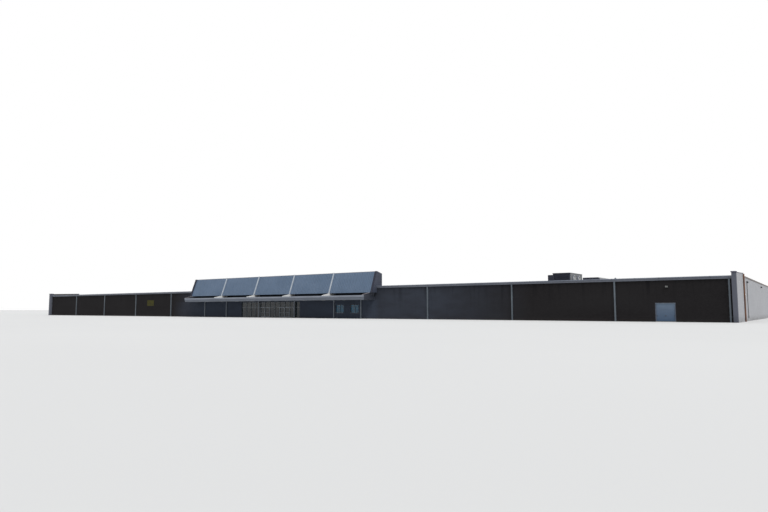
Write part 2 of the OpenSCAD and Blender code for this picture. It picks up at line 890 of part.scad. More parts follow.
// Stiles and rails of one glazed leaf, with a push bar from stile to stile
module door_leaf(i) {
    low = floor_t + leaf_gap;
    high = transom_z - bar_w / 2 - leaf_gap;
    run_y(frame_in, frame_in + bar_d) difference() {
        pane([leaf_left(i), low], [leaf_right(i), high]);
        pane([leaf_left(i) + stile_w, low + rail_h], [leaf_right(i) - stile_w, high - stile_w]);
    }
    run_y(frame_in - push_out, frame_in + bar_d / 2)
        pane([leaf_left(i) + stile_w / 2, push_z], [leaf_right(i) - stile_w / 2, push_z + push_h]);
}

module entrance_doors() {
    color("#9aa0a3") place() for (i = door_bays) {
        door_leaf(i);
        door_leaf(i + 1);
    }
}

// A roller door's curtain of slats, each bulging out between its hinge lines, with a bar
// between the guides along its lower edge
module roller_curtain(door) {
    slat_n = floor((roller_h - floor_t) / slat_h);
    outer = door[1] + door[2] * guide_in;
    hinge = outer + door[2] * (guide_d + slat_out);
    crest = hinge - door[2] * slat_out;
    back = hinge + door[2] * curtain_t;
    slats = [for (i = [0:slat_n - 1]) each [
        [hinge, floor_t + i * slat_h], [crest, floor_t + (i + 0.5) * slat_h]
    ]];
    run_x(door[0], door[0] + roller_w) polygon(concat(
        [[back, roller_h], [back, floor_t]], slats,
        [[hinge, floor_t + slat_n * slat_h], [hinge, roller_h]]));
    run_y(min(outer, hinge), max(outer, hinge)) translate([door[0], 0])
        pane([guide_w, floor_t], [roller_w - guide_w, floor_t + bottom_bar_h]);
}

module roller_curtains() {
    color("#8fa3b5") place() for (door = roller_doors) roller_curtain(door);
}

// The two guides and the head that hold a roller curtain, as one bent frame
module roller_guide(door) {
    outer = door[1] + door[2] * guide_in;
    inner = outer + door[2] * guide_d;
    run_y(min(outer, inner), max(outer, inner)) translate([door[0], 0]) difference() {
        pane([0, floor_t], [roller_w, roller_h]);
        pane([guide_w, 0], [roller_w - guide_w, roller_h - guide_w]);
    }
}

module roller_guides() {
    color("white") place() for (door = roller_doors) roller_guide(door);
}

module exit_doors() {
    color("#7d8388") place() for (x = exit_x)
        block([x, store_d - guide_in - exit_t, floor_t], [x + exit_w, store_d - guide_in, exit_h]);
}

// Wall light with a sloping front, its back on the wall and its middle at the origin
module wall_light() {
    run_x(-light_w / 2, light_w / 2) polygon([
        [-light_d, 0], [-light_edge_d, -light_h / 2], [0, -light_h / 2],
        [0, light_h / 2], [-light_edge_d, light_h / 2]
    ]);
}

module wall_lights() {
    color("#55585c") place() {
        both_ends() for (i = [0, 1])
            translate([side_in, side_light_y + i * side_light_pitch, side_light_z])
                rotate([0, 0, -90]) wall_light();
        for (door = roller_doors)
            translate([door[0] + roller_w / 2 + door[2] * light_side, door[1], door_light_z])
                rotate([0, 0, door[2] > 0 ? 0 : 180]) wall_light();
    }
}

// A curb under a unit that stands at (x, y) and is w wide and d long
module curb(x, y, w, d) {
    block([x + curb_in, y + curb_in, roof_z], [x + w - curb_in, y + d - curb_in, roof_z + curb_h]);
}

module roof_curbs() {
    color("#7a7c7f") place() {
        curb(unit_x, unit_y, unit_w, unit_d);
        curb(low_x, low_y, low_w, low_d);
    }
}

// A recess in a unit's front that is filled by sloping louvre blades
module louvred(x, y, w, low, high) {
    blade_n = floor((high - low - 2 * casing_w) / louvre_pitch);
    first = (low + high - (blade_n - 0.25) * louvre_pitch) / 2;
    difference() {
        children();
        block([x + casing_w, y - louvre_d, low + casing_w],
            [x + w - casing_w, y + louvre_d, high - casing_w]);
    }
    for (i = [0:blade_n - 1]) {
        z = first + i * louvre_pitch;
        run_x(x + casing_w, x + w - casing_w) polygon([
            [y, z], [y + louvre_d, z + louvre_pitch / 2],
            [y + louvre_d, z + louvre_pitch * 0.75], [y, z + louvre_pitch / 4]
        ]);
    }
}

module roof_units() {
    base = roof_z + curb_h;
    top = roof_z + unit_h;
    low_top = roof_z + low_h;
    color("#8b9096") place() {
        louvred(unit_x, unit_y, unit_w, base, top - lid_t)
            block([unit_x, unit_y, base], [unit_x + unit_w, unit_y + unit_d, top - lid_t]);
        block([unit_x - lid_lip, unit_y - lid_lip, top - lid_t],
            [unit_x + unit_w + lid_lip, unit_y + unit_d + lid_lip, top]);
        louvred(low_x, low_y, low_w, base, low_top - low_slope)
            run_y(low_y, low_y + low_d) translate([low_x, 0]) polygon([
                [0, base], [low_w, base], [low_w, low_top - low_slope],
                [low_w - low_slope, low_top], [0, low_top]
            ]);
    }
}

module roof_unit_intake() {
    top = roof_z + unit_h - intake_drop;
    color(DARK_METAL) place() run_y(unit_y, unit_y + intake_d) polygon([
        [unit_x - intake_w, roof_z + intake_up], [unit_x, roof_z + intake_up - intake_slope],
        [unit_x, top], [unit_x - intake_w, top]
    ]);
}

// Section of a fan's shroud from its bore outwards, with a flange against the casing
module shroud_section() {
    bore = fan_d / 2 - shroud_t;
    polygon([
        [bore, 0], [fan_d / 2 + shroud_t, 0], [fan_d / 2 + shroud_t, shroud_t / 2],
        [fan_d / 2, shroud_t / 2], [fan_d / 2, fan_t], [bore, fan_t]
    ]);
}

// The two shrouds stand half-way up the right side of the tall unit's casing.
module roof_unit_fans() {
    middle = roof_z + (curb_h + unit_h - lid_t) / 2;
    color(LIGHT_METAL) place() for (i = [0, 1])
        translate([unit_x + unit_w, unit_y + fan_y + i * fan_pitch, middle])
            rotate([0, 90, 0]) rotate_extrude($fn = 64) shroud_section();
}

// Pipe through the roof with a flashing at its foot and a cowl on its head
module roof_vent() {
    pipe_r = vent_pipe_d / 2;
    cowl_z = vent_h - cowl_h;
    color(LIGHT_METAL) place() translate([store_w - vent_from_end, vent_y, roof_z])
        rotate_extrude($fn = 48) polygon([
            [0, 0], [vent_d / 2, 0], [vent_d / 2, vent_skirt_h / 4], [pipe_r, vent_skirt_h],
            [pipe_r, cowl_z], [vent_d / 2, cowl_z], [vent_d / 2, cowl_z + cowl_h * 0.6],
            [pipe_r, vent_h], [0, vent_h]
        ]);
}

floor_slab();
door_thresholds();
front_wall();
front_wall_infill();
side_walls();
rear_wall();
rear_wall_infill();
end_pilasters();
end_return_walls();
pilaster_caps();
return_flashings();
roof_deck();
front_fascia();
fascia_caps();
side_copings();
rear_coping();
front_downpipes();
service_downpipes();
mansard_panels();
mansard_ribs();
mansard_gussets();
mansard_end_walls();
mansard_soffit();
mansard_top_sheet();
mansard_back_wall();
mansard_peak_cap();
canopy_fascia();
canopy_end_fascias();
canopy_deck();
canopy_soffit();
canopy_end_plates();
canopy_columns();
glazing_frames();
glazing_glass();
entrance_doors();
roller_curtains();
roller_guides();
exit_doors();
wall_lights();
roof_curbs();
roof_units();
roof_unit_intake();
roof_unit_fans();
roof_vent();
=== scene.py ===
import math

import bmesh
import bpy
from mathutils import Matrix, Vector


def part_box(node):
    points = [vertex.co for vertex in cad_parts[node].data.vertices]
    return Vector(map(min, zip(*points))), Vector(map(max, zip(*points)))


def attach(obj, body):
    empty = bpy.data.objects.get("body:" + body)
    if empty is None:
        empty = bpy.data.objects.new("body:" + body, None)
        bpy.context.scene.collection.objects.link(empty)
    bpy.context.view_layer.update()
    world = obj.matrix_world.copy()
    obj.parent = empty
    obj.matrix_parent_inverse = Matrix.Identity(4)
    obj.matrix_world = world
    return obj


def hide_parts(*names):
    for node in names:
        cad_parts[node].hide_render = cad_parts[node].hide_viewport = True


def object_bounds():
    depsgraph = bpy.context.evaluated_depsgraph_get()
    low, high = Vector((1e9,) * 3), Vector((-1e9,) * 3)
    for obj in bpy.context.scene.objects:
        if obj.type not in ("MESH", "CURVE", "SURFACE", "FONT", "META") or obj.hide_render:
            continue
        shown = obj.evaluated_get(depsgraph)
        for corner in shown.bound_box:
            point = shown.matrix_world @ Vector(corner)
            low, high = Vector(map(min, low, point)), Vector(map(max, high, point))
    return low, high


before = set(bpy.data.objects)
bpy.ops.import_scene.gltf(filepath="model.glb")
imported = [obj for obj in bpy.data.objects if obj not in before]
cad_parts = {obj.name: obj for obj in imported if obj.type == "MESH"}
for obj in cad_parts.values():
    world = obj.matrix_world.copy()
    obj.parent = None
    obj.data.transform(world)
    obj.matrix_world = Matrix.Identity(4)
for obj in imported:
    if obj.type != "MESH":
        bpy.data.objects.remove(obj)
cad_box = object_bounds()

# The floor slab and the sills of the doorways: bare cast concrete, trowelled flat and
# sealed, and a little stained with use.


def shade(red, green, blue):
    """A colour as a screen shows it, 0 to 255, turned into the light it stands for."""
    parts = [c / 255 for c in (red, green, blue)]
    parts = [c / 12.92 if c < 0.04045 else ((c + 0.055) / 1.055) ** 2.4 for c in parts]
    return (*parts, 1.0)


def node(owner, kind, inputs=None, **settings):
    """Adds a shader node. An input given a socket is linked to it, any other is set."""
    made = owner.node_tree.nodes.new("ShaderNode" + kind)
    for name, value in settings.items():
        setattr(made, name, value)
    for name, value in (inputs or {}).items():
        if isinstance(value, bpy.types.NodeSocket):
            owner.node_tree.links.new(value, made.inputs[name])
        else:
            made.inputs[name].default_value = value
    return made


def place_of(finish, size):
    """A point of the piece, counted in steps of a size in metres: one for all axes or one each."""
    where = node(finish, "TexCoord").outputs["Object"]
    sizes = size if isinstance(size, tuple) else (size,) * 3
    return node(finish, "Mapping", {"Vector": where, "Scale": [1 / s for s in sizes]}).outputs[0]


def cloud(finish, size, detail=3):
    """Soft patches of about a size, from 0 to 1."""
    inputs = {"Vector": place_of(finish, size), "Scale": 1.0, "Detail": detail}
    return node(finish, "TexNoise", inputs).outputs[0]


def between(finish, value, low, high, bottom=0.0, top=1.0):
    """Stretches a value so that low becomes bottom and high becomes top."""
    inputs = {"Value": value, "From Min": low, "From Max": high, "To Min": bottom, "To Max": top}
    return node(finish, "MapRange", inputs).outputs[0]


def blotches(finish, size, detail=4, low=0.3, high=0.7, bottom=0.0, top=1.0):
    """Soft patches with bare places between them: a cloud stretched from low to high."""
    return between(finish, cloud(finish, size, detail), low, high, bottom, top)


def over(finish, under, upper, amount):
    """One colour laid over another by an amount from 0 to 1."""
    return node(finish, "Mix", {0: amount, 6: under, 7: upper}, data_type="RGBA").outputs[2]


def new_finish(name, roughness, metallic=0.0, gloss=0.5):
    made = bpy.data.materials.new(name)
    made.use_nodes = True
    shader = made.node_tree.nodes["Principled BSDF"]
    shader.inputs["Roughness"].default_value = roughness
    shader.inputs["Metallic"].default_value = metallic
    shader.inputs["Specular IOR Level"].default_value = gloss
    return made


def show(finish, colour, relief=None, depth=0.001, rough=None):
    """Joins a colour, a relief of the given depth and a roughness to the finish's shader."""
    shader = finish.node_tree.nodes["Principled BSDF"]
    links = finish.node_tree.links
    links.new(colour, shader.inputs["Base Color"])
    if relief:
        bump = node(finish, "Bump", {"Height": relief, "Distance": depth})
        links.new(bump.outputs[0], shader.inputs["Normal"])
    if rough:
        links.new(rough, shader.inputs["Roughness"])


def dress(finish, *names):
    """Gives a finish to the frame's nodes of these names."""
    for name in names:
        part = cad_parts[name]
        part.data.materials.clear()
        part.data.materials.append(finish)


concrete = new_finish("trowelled concrete", 0.8)
stained = over(concrete, shade(118, 116, 111), shade(142, 140, 134), blotches(concrete, 0.5, 5))
show(concrete, stained, cloud(concrete, 0.004, 2), 0.0004)
dress(concrete, "floor_slab", "door_thresholds")

# The long front: dark brown facing brick laid in half bond with flush dark joints, carried
# down to the ground and broken only by the entrance, two windows and a roller door.


def place_along(finish, axis):
    """A point's place along one axis of the building, in metres."""
    where = node(finish, "TexCoord").outputs["Object"]
    return node(finish, "SeparateXYZ", {"Vector": where}).outputs[axis]


def from_to(finish, axis, start, end, bottom=0.0, top=1.0):
    """Runs from bottom to top between two places along an axis of the building."""
    return between(finish, place_along(finish, axis), start, end, bottom, top)


def times(finish, one, other):
    return node(finish, "Math", {0: one, 1: other}, operation="MULTIPLY").outputs[0]


def plus(finish, one, other):
    return node(finish, "Math", {0: one, 1: other}, operation="ADD").outputs[0]


def laid(finish, length, course, joint, first, second, mortar):
    """Bricks or blocks in half bond on an upright face, sizes in metres: colour and joints."""
    along = plus(finish, place_along(finish, "X"), place_along(finish, "Y"))
    wall = node(finish, "CombineXYZ", {"X": along, "Y": place_along(finish, "Z")}).outputs[0]
    centimetres = 100
    bond = node(finish, "TexBrick", {
        "Vector": wall, "Scale": centimetres, "Brick Width": length * centimetres,
        "Row Height": course * centimetres, "Mortar Size": joint * centimetres,
        "Mortar Smooth": 0.2, "Bias": -0.1,
        "Color1": first, "Color2": second, "Mortar": mortar})
    return bond.outputs["Color"], bond.outputs["Fac"]


BRICK_LENGTH = 0.0203
BRICK_COURSE = 0.00677
BRICK_JOINT = 0.00045
brick = new_finish("dark brown facing brick", 0.9, gloss=0.05)
bricks, joints = laid(brick, BRICK_LENGTH, BRICK_COURSE, BRICK_JOINT,
                      shade(32, 30, 31), shade(39, 37, 38), shade(45, 45, 47))
patches = blotches(brick, (1.2, 1.2, 0.35), low=0.35, top=0.55)
faded = over(brick, bricks, shade(42, 41, 42), patches)
# A blue-grey cast is painted over the bricks round the entrance and to its right: painted skylight in
# shade.
SKY_TINT_LEFT, SKY_TINT_RIGHT = (-2.8, -1.6), (6.3, 4.6)
from_left = from_to(brick, "X", *SKY_TINT_LEFT)
from_right = from_to(brick, "X", *SKY_TINT_RIGHT)
mottled = blotches(brick, (0.3, 0.3, 0.12), 5, 0.25, 0.6, bottom=0.65)
sky_tint = times(brick, times(brick, from_right, from_left), mottled)
sky_tinted = over(brick, faded, shade(57, 61, 70), times(brick, sky_tint, 0.95))
# Under the canopy the cast is painted paler and bluer: painted light that lifts the canopy's shadow.
under_canopy_lift = times(brick, from_to(brick, "Z", 0.36, 0.33, 0.0, 0.7), from_to(brick, "X", 3.42, 3.30))
canopy_fill_lit = over(brick, sky_tinted, shade(64, 71, 84), times(brick, sky_tint, under_canopy_lift))
runs = blotches(brick, (0.05, 0.05, 0.8), low=0.52, high=0.72)
under_cap = from_to(brick, "Z", 0.30, 0.56, 0.1, 0.6)
sooted = over(brick, canopy_fill_lit, shade(18, 18, 21), times(brick, runs, under_cap))
low_down = from_to(brick, "Z", 0.05, 0.0)
splash = times(brick, low_down, blotches(brick, (0.1, 0.1, 0.03), 3, top=0.5))
dusty = over(brick, sooted, shade(58, 55, 53), splash)
grain = times(brick, cloud(brick, 0.002), 0.3)
show(brick, dusty, plus(brick, times(brick, joints, -1.0), grain), 0.0006)
dress(brick, "front_wall", "front_wall_infill")

# Steel angles carry the brick over the windows and the roller door. Their leading edges show
# under the first course above each opening, bent down a little as a drip.


def add_block(name, corner, opposite):
    """Adds a block between two corners as a new piece, with its place in its mesh."""
    bpy.ops.object.select_all(action="DESELECT")
    middle = [(a + b) / 2 for a, b in zip(corner, opposite)]
    bpy.ops.mesh.primitive_cube_add(size=1, location=middle)
    piece = bpy.context.object
    piece.name = name
    piece.scale = [abs(b - a) for a, b in zip(corner, opposite)]
    bpy.ops.object.transform_apply()
    return piece


def open_up(piece):
    """Opens one piece for shaping in edit mode, with nothing picked."""
    bpy.ops.object.select_all(action="DESELECT")
    piece.select_set(True)
    bpy.context.view_layer.objects.active = piece
    bpy.ops.object.mode_set(mode="EDIT")
    bpy.ops.mesh.select_all(action="DESELECT")


def pick_faces(piece, test):
    """Picks the open piece's faces whose outward direction passes a test."""
    bpy.ops.mesh.select_mode(type="FACE")
    drawn = bmesh.from_edit_mesh(piece.data)
    for face in drawn.faces:
        face.select_set(bool(test(face.normal)))
    bmesh.update_edit_mesh(piece.data)


def pick_edges(piece, test):
    """Picks the open piece's edges of which both ends pass a test."""
    bpy.ops.mesh.select_mode(type="EDGE")
    drawn = bmesh.from_edit_mesh(piece.data)
    for edge in drawn.edges:
        edge.select_set(all(test(end.co) for end in edge.verts))
    bmesh.update_edit_mesh(piece.data)


def looking(x=0, y=0, z=0):
    """A test for faces that look the given way."""
    return lambda out: out.dot(Vector((x, y, z))) > 0.99


def pull_out(way):
    """Extrudes what is picked by a distance along each axis."""
    bpy.ops.mesh.extrude_region_move(TRANSFORM_OT_translate={"value": way})


def close_up():
    """Leaves edit mode, with every face turned outwards."""
    bpy.ops.mesh.select_all(action="SELECT")
    bpy.ops.mesh.normals_make_consistent(inside=False)
    bpy.ops.object.mode_set(mode="OBJECT")


def join_as(name, parts):
    """Makes one piece of several."""
    bpy.ops.object.select_all(action="DESELECT")
    for part in parts:
        part.select_set(True)
    bpy.context.view_layer.objects.active = parts[0]
    if len(parts) > 1:
        bpy.ops.object.join()
    parts[0].name = name
    return parts[0]


def fix_on(piece, finish):
    """Gives a piece its finish and fixes it to the building."""
    piece.data.materials.clear()
    piece.data.materials.append(finish)
    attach(piece, "root")


def spotted(name, colour, other, roughness, metallic=0.0, gloss=0.5, size=0.01,
            low=0.3, high=0.7, depth=0.0003):
    """A finish of two colours in small soft spots, which are its relief too."""
    made = new_finish(name, roughness, metallic, gloss)
    spots = blotches(made, size, low=low, high=high)
    show(made, over(made, colour, other, spots), spots, depth)
    return made


BRICK_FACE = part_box("front_wall")[0].y
WINDOWS_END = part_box("glazing_frames")[1].x
WINDOW_STEP = 0.360
WINDOW_WIDTH = 0.196
WINDOW_HEAD = 0.255
shutters_low, shutters_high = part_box("roller_curtains")
SHUTTER_WIDTH = 0.255
ANGLE_THICK = 0.0015
ANGLE_DEPTH = 0.008
DRIP_OUT = 0.0015
DRIP_DOWN = 0.001
lintels = []
# The right edge, width and head of each opening
for right, width, head in ((WINDOWS_END - WINDOW_STEP, WINDOW_WIDTH, WINDOW_HEAD),
                           (WINDOWS_END, WINDOW_WIDTH, WINDOW_HEAD),
                           (shutters_high.x, SHUTTER_WIDTH, shutters_high.z)):
    lintel = add_block("lintel", (right - width, BRICK_FACE, head - ANGLE_THICK),
                       (right, BRICK_FACE + ANGLE_DEPTH, head))
    open_up(lintel)
    pick_faces(lintel, looking(y=-1))
    pull_out((0, -DRIP_OUT, -DRIP_DOWN))
    close_up()
    lintels.append(lintel)
lintel_steel = spotted("painted lintel steel", shade(44, 43, 47), shade(70, 55, 48), 0.6, 0.2, 0.3,
                       (0.02, 0.01, 0.01), 0.45, 0.65)
fix_on(join_as("steel_lintels", lintels), lintel_steel)

# A bare metal plate, folded into a shallow tray and screwed to the brick of the left wing. Its
# yellow paint has dulled to a dark ochre.


def press(piece, test, *steps):
    """Presses a form into the faces that pass a test: each step is a margin and a move out."""
    open_up(piece)
    pick_faces(piece, test)
    for margin, move in steps:
        bpy.ops.mesh.inset(thickness=margin, depth=move, use_even_offset=True)
    close_up()


def ease_edges(piece, width, segments=2):
    """Rounds the edges of a finished piece a little, as folding and casting do."""
    bpy.context.view_layer.objects.active = piece
    easing = piece.modifiers.new("easing", "BEVEL")
    easing.width = width
    easing.segments = segments
    easing.limit_method = "ANGLE"
    bpy.ops.object.modifier_apply(modifier=easing.name)


PLATE_LEFT, PLATE_RIGHT = -3.899, -3.616
PLATE_FOOT, PLATE_HEAD = 0.261, 0.403
PLATE_THICK = 0.004
PLATE_RIM = 0.005
TRAY_DEPTH = 0.002
plate = add_block("wall_plate", (PLATE_LEFT, BRICK_FACE - PLATE_THICK, PLATE_FOOT),
                  (PLATE_RIGHT, BRICK_FACE, PLATE_HEAD))
press(plate, looking(y=-1), (PLATE_RIM, 0), (TRAY_DEPTH, -TRAY_DEPTH))
ease_edges(plate, 0.0008)
ochre = new_finish("dulled ochre paint", 0.75, gloss=0.2)
dull = blotches(ochre, (0.08, 0.08, 0.05))
scuffs = blotches(ochre, (0.01, 0.01, 0.03), low=0.55, top=0.6)
dulled = over(ochre, shade(64, 62, 14), shade(52, 50, 20), dull)
show(ochre, over(ochre, dulled, shade(38, 36, 28), scuffs), dull, 0.0008)
fix_on(plate, ochre)

# A round vent of dark cast iron, bedded in the brick of the left wing. Two ring louvres are
# cast round its cap.


def add_round(name, radius, length, middle, turn=(0, 0, 0), sides=24):
    """Adds a round bar about its middle, turned in degrees, with its place in its mesh."""
    bpy.ops.object.select_all(action="DESELECT")
    bpy.ops.mesh.primitive_cylinder_add(vertices=sides, radius=radius, depth=length,
                                        location=middle, rotation=[math.radians(t) for t in turn])
    piece = bpy.context.object
    piece.name = name
    bpy.ops.object.transform_apply()
    return piece


TO_FRONT = (90, 0, 0)
VENT_PLACE, VENT_HEIGHT = -7.006, 0.438
VENT_RADIUS, VENT_THICK = 0.014, 0.006
RING_WIDTH, GROOVE_SLOPE, GROOVE_DEPTH = 0.002, 0.0005, 0.003
vent = add_round("brick_wall_vent", VENT_RADIUS, VENT_THICK,
                 (VENT_PLACE, BRICK_FACE - VENT_THICK / 2, VENT_HEIGHT), TO_FRONT, 32)
louvre = ((RING_WIDTH, 0), (GROOVE_SLOPE, -GROOVE_DEPTH), (RING_WIDTH, 0), (GROOVE_SLOPE, GROOVE_DEPTH))
press(vent, looking(y=-1), *louvre, *louvre)
vent_iron = spotted("dark vent casting", shade(30, 30, 33), shade(44, 42, 43), 0.7, 0.1, 0.2, 0.004)
fix_on(vent, vent_iron)

# The side and rear walls: painted concrete block, 400 by 200 mm faces on the real store. Rain
# has carried dirt down from the coping, and the paint has dulled near the ground.
BLOCK_LENGTH = 0.0406
BLOCK_COURSE = 0.0203
BLOCK_JOINT = 0.0005


def scaled(colour, share):
    """The same colour, lighter or darker."""
    return tuple(c * share for c in colour[:3]) + (1.0,)


def painted_block(name, colour, dirt):
    """Block wall paint of a colour, with its joints and the dirt that has run down it."""
    made = new_finish(name, 0.8, gloss=0.15)
    blocks, joints = laid(made, BLOCK_LENGTH, BLOCK_COURSE, BLOCK_JOINT,
                          colour, scaled(colour, 0.93), scaled(colour, 0.72))
    chalky = blotches(made, (0.9, 0.9, 0.5), 5, high=0.75, top=0.5)
    faded = over(made, blocks, scaled(colour, 1.12), chalky)
    runs = blotches(made, (0.035, 0.035, 0.7), 5, 0.5, 0.75, top=0.5)
    high_up = from_to(made, "Z", 0.1, 0.62, 0.15, 1.0)
    stained = over(made, faded, dirt, times(made, runs, high_up))
    low_down = from_to(made, "Z", 0.09, 0.0)
    foot = times(made, low_down, blotches(made, (0.12, 0.12, 0.05), 4, 0.25, 0.65, top=0.7))
    soiled = over(made, stained, scaled(dirt, 0.6), foot)
    grain = times(made, cloud(made, 0.003), 0.25)
    show(made, soiled, plus(made, times(made, joints, -1.0), grain), 0.0008)
    return made


block = painted_block("white painted block", shade(165, 166, 170), shade(134, 134, 132))
dress(block, "side_walls", "rear_wall", "rear_wall_infill", "end_return_walls")

# The two end pilasters: the same block, laid up as piers that stand out past the ends of the
# brick. Its white paint is darkened to a mid grey here as painted shade.
# The white block's paint, darkened as painted shade on the pilasters.
shaded_block_paint = painted_block("white block in painted shade", shade(90, 93, 103), shade(72, 74, 83))
dress(shaded_block_paint, "end_pilasters")

# Caps and flashings over the pilasters and the returns: folded sheet metal with a dark baked
# finish, gone chalky and streaked where water leaves the edges.


def folded_metal(name, colour, worn, roughness=0.5, metallic=0.2, gloss=0.4, size=(0.4, 0.4, 0.12)):
    """Painted sheet metal: faded in soft patches, with short drips and a faint oil-canning."""
    made = new_finish(name, roughness, metallic, gloss)
    faded = over(made, colour, worn, blotches(made, size, low=0.32, high=0.72, top=0.8))
    drips = blotches(made, (0.012, 0.012, 0.15), low=0.55, high=0.75, top=0.35)
    streaked = over(made, faded, scaled(colour, 0.55), drips)
    dull = blotches(made, 0.03, bottom=roughness - 0.08, top=roughness + 0.15)
    show(made, streaked, cloud(made, 0.15, 2), 0.0012, dull)
    return made


dark_metal = folded_metal("dark coping metal", shade(65, 65, 84), shade(82, 81, 97), 0.55)
dress(dark_metal, "pilaster_caps", "return_flashings")

# The copings of the side and rear walls: the same sheet in a browner grey, laid in lengths of
# three metres with a cover strip folded over each joint.


def move_edges(piece, test, way):
    """Moves the edges of which both ends pass a test."""
    open_up(piece)
    pick_edges(piece, test)
    bpy.ops.transform.translate(value=way)
    close_up()


def repeat(piece, count, step):
    """Sets out a row of copies at equal steps and keeps them as one mesh."""
    bpy.context.view_layer.objects.active = piece
    row = piece.modifiers.new("row", "ARRAY")
    row.count = count
    row.use_relative_offset = False
    row.use_constant_offset = True
    row.constant_offset_displace = step
    bpy.ops.object.modifier_apply(modifier=row.name)


def mirror_to_left(piece):
    """Adds the same form at the building's other end."""
    bpy.context.view_layer.objects.active = piece
    other = piece.modifiers.new("other end", "MIRROR")
    other.use_mirror_merge = False
    bpy.ops.object.modifier_apply(modifier=other.name)
    open_up(piece)
    close_up()


coping_metal = folded_metal("brown-grey coping metal", shade(98, 92, 90), shade(116, 108, 104), 0.55)
dress(coping_metal, "side_copings", "rear_coping")
side_low, side_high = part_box("side_copings")
rear_low, rear_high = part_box("rear_coping")
SHEET_LENGTH = 0.3048
STRIP_WIDTH = 0.008
STRIP_LAP = 0.0005
STRIP_RISE = 0.0008
COPING_FALL = (0, 0, -0.005)
COPING_TOP = side_high.z
side_inner = side_high.x - (rear_high.y - rear_low.y)
first = side_low.y + 0.118
strip = add_block("side_coping_joints", (side_inner - STRIP_LAP, first, side_low.z - STRIP_LAP),
                  (side_high.x + STRIP_LAP, first + STRIP_WIDTH, COPING_TOP + STRIP_RISE))
move_edges(strip, lambda end: end.x < side_inner and end.z > COPING_TOP, COPING_FALL)
ease_edges(strip, 0.0004)
repeat(strip, 17, (0, SHEET_LENGTH, 0))
mirror_to_left(strip)
fix_on(strip, coping_metal)
first = rear_low.x + 0.139
strip = add_block("rear_coping_joints", (first, rear_low.y - STRIP_LAP, rear_low.z - STRIP_LAP),
                  (first + STRIP_WIDTH, rear_high.y + STRIP_LAP, COPING_TOP + STRIP_RISE))
move_edges(strip, lambda end: end.y < rear_low.y and end.z > COPING_TOP, COPING_FALL)
ease_edges(strip, 0.0004)
repeat(strip, 59, (SHEET_LENGTH, 0, 0))
fix_on(strip, coping_metal)

# The flat roof and the canopy's deck: sheets of felt two metres wide, lapped, bonded down and
# covered with fine grey gravel.
SHEETS_REPEAT = 0.2
membrane = new_finish("gravelled roof membrane", 0.95, gloss=0.2)
stones = node(membrane, "TexVoronoi", {"Vector": place_of(membrane, 0.003), "Scale": 1.0})
sized = over(membrane, shade(112, 111, 108), shade(146, 144, 139), stones.outputs["Color"])
ponds = blotches(membrane, 1.1, 5, 0.42, 0.68, top=0.6)
damp = over(membrane, sized, shade(92, 91, 90), ponds)
laps = node(membrane, "TexWave", {"Vector": place_of(membrane, SHEETS_REPEAT), "Scale": 1 / math.pi,
                                  "Distortion": 0.4, "Detail": 2.0}, bands_direction="Y")
edges = between(membrane, laps.outputs["Fac"], 0.96, 1.0, 0.0, 0.5)
show(membrane, over(membrane, damp, shade(84, 83, 82), edges), stones.outputs["Distance"], 0.0015)
dress(membrane, "roof_deck", "canopy_deck")

# Round the roof's edges the bare felt runs over a sloping fillet and up the wall to the
# coping, and behind the mansard it is dressed up the back wall.
felt = new_finish("bare black felt", 0.85, gloss=0.2)
worn = over(felt, shade(56, 56, 60), shade(74, 72, 72), blotches(felt, (0.25, 0.25, 0.06), low=0.35))
seams = blotches(felt, (0.02, 0.02, 0.3), 3, 0.5, top=0.4)
show(felt, over(felt, worn, shade(42, 42, 45), seams), cloud(felt, 0.002, 2), 0.0005)
roof_low, roof_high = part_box("roof_deck")
returns_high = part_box("end_return_walls")[1]
caps_low, caps_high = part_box("fascia_caps")
back_low, back_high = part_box("mansard_back_wall")
END_WALL = 0.036
BLOCK_LEFT, BLOCK_RIGHT = back_low.x - END_WALL, back_high.x + END_WALL
ROOF = roof_high.z
FELT_RUN = 0.030
FILLET = 0.028
left, right = roof_low.x, roof_high.x
front, rear = roof_low.y, roof_high.y
back = returns_high.y
RETURN_FELT_TOP = 0.632
MANSARD_FELT_TOP = 0.590
fillets = []
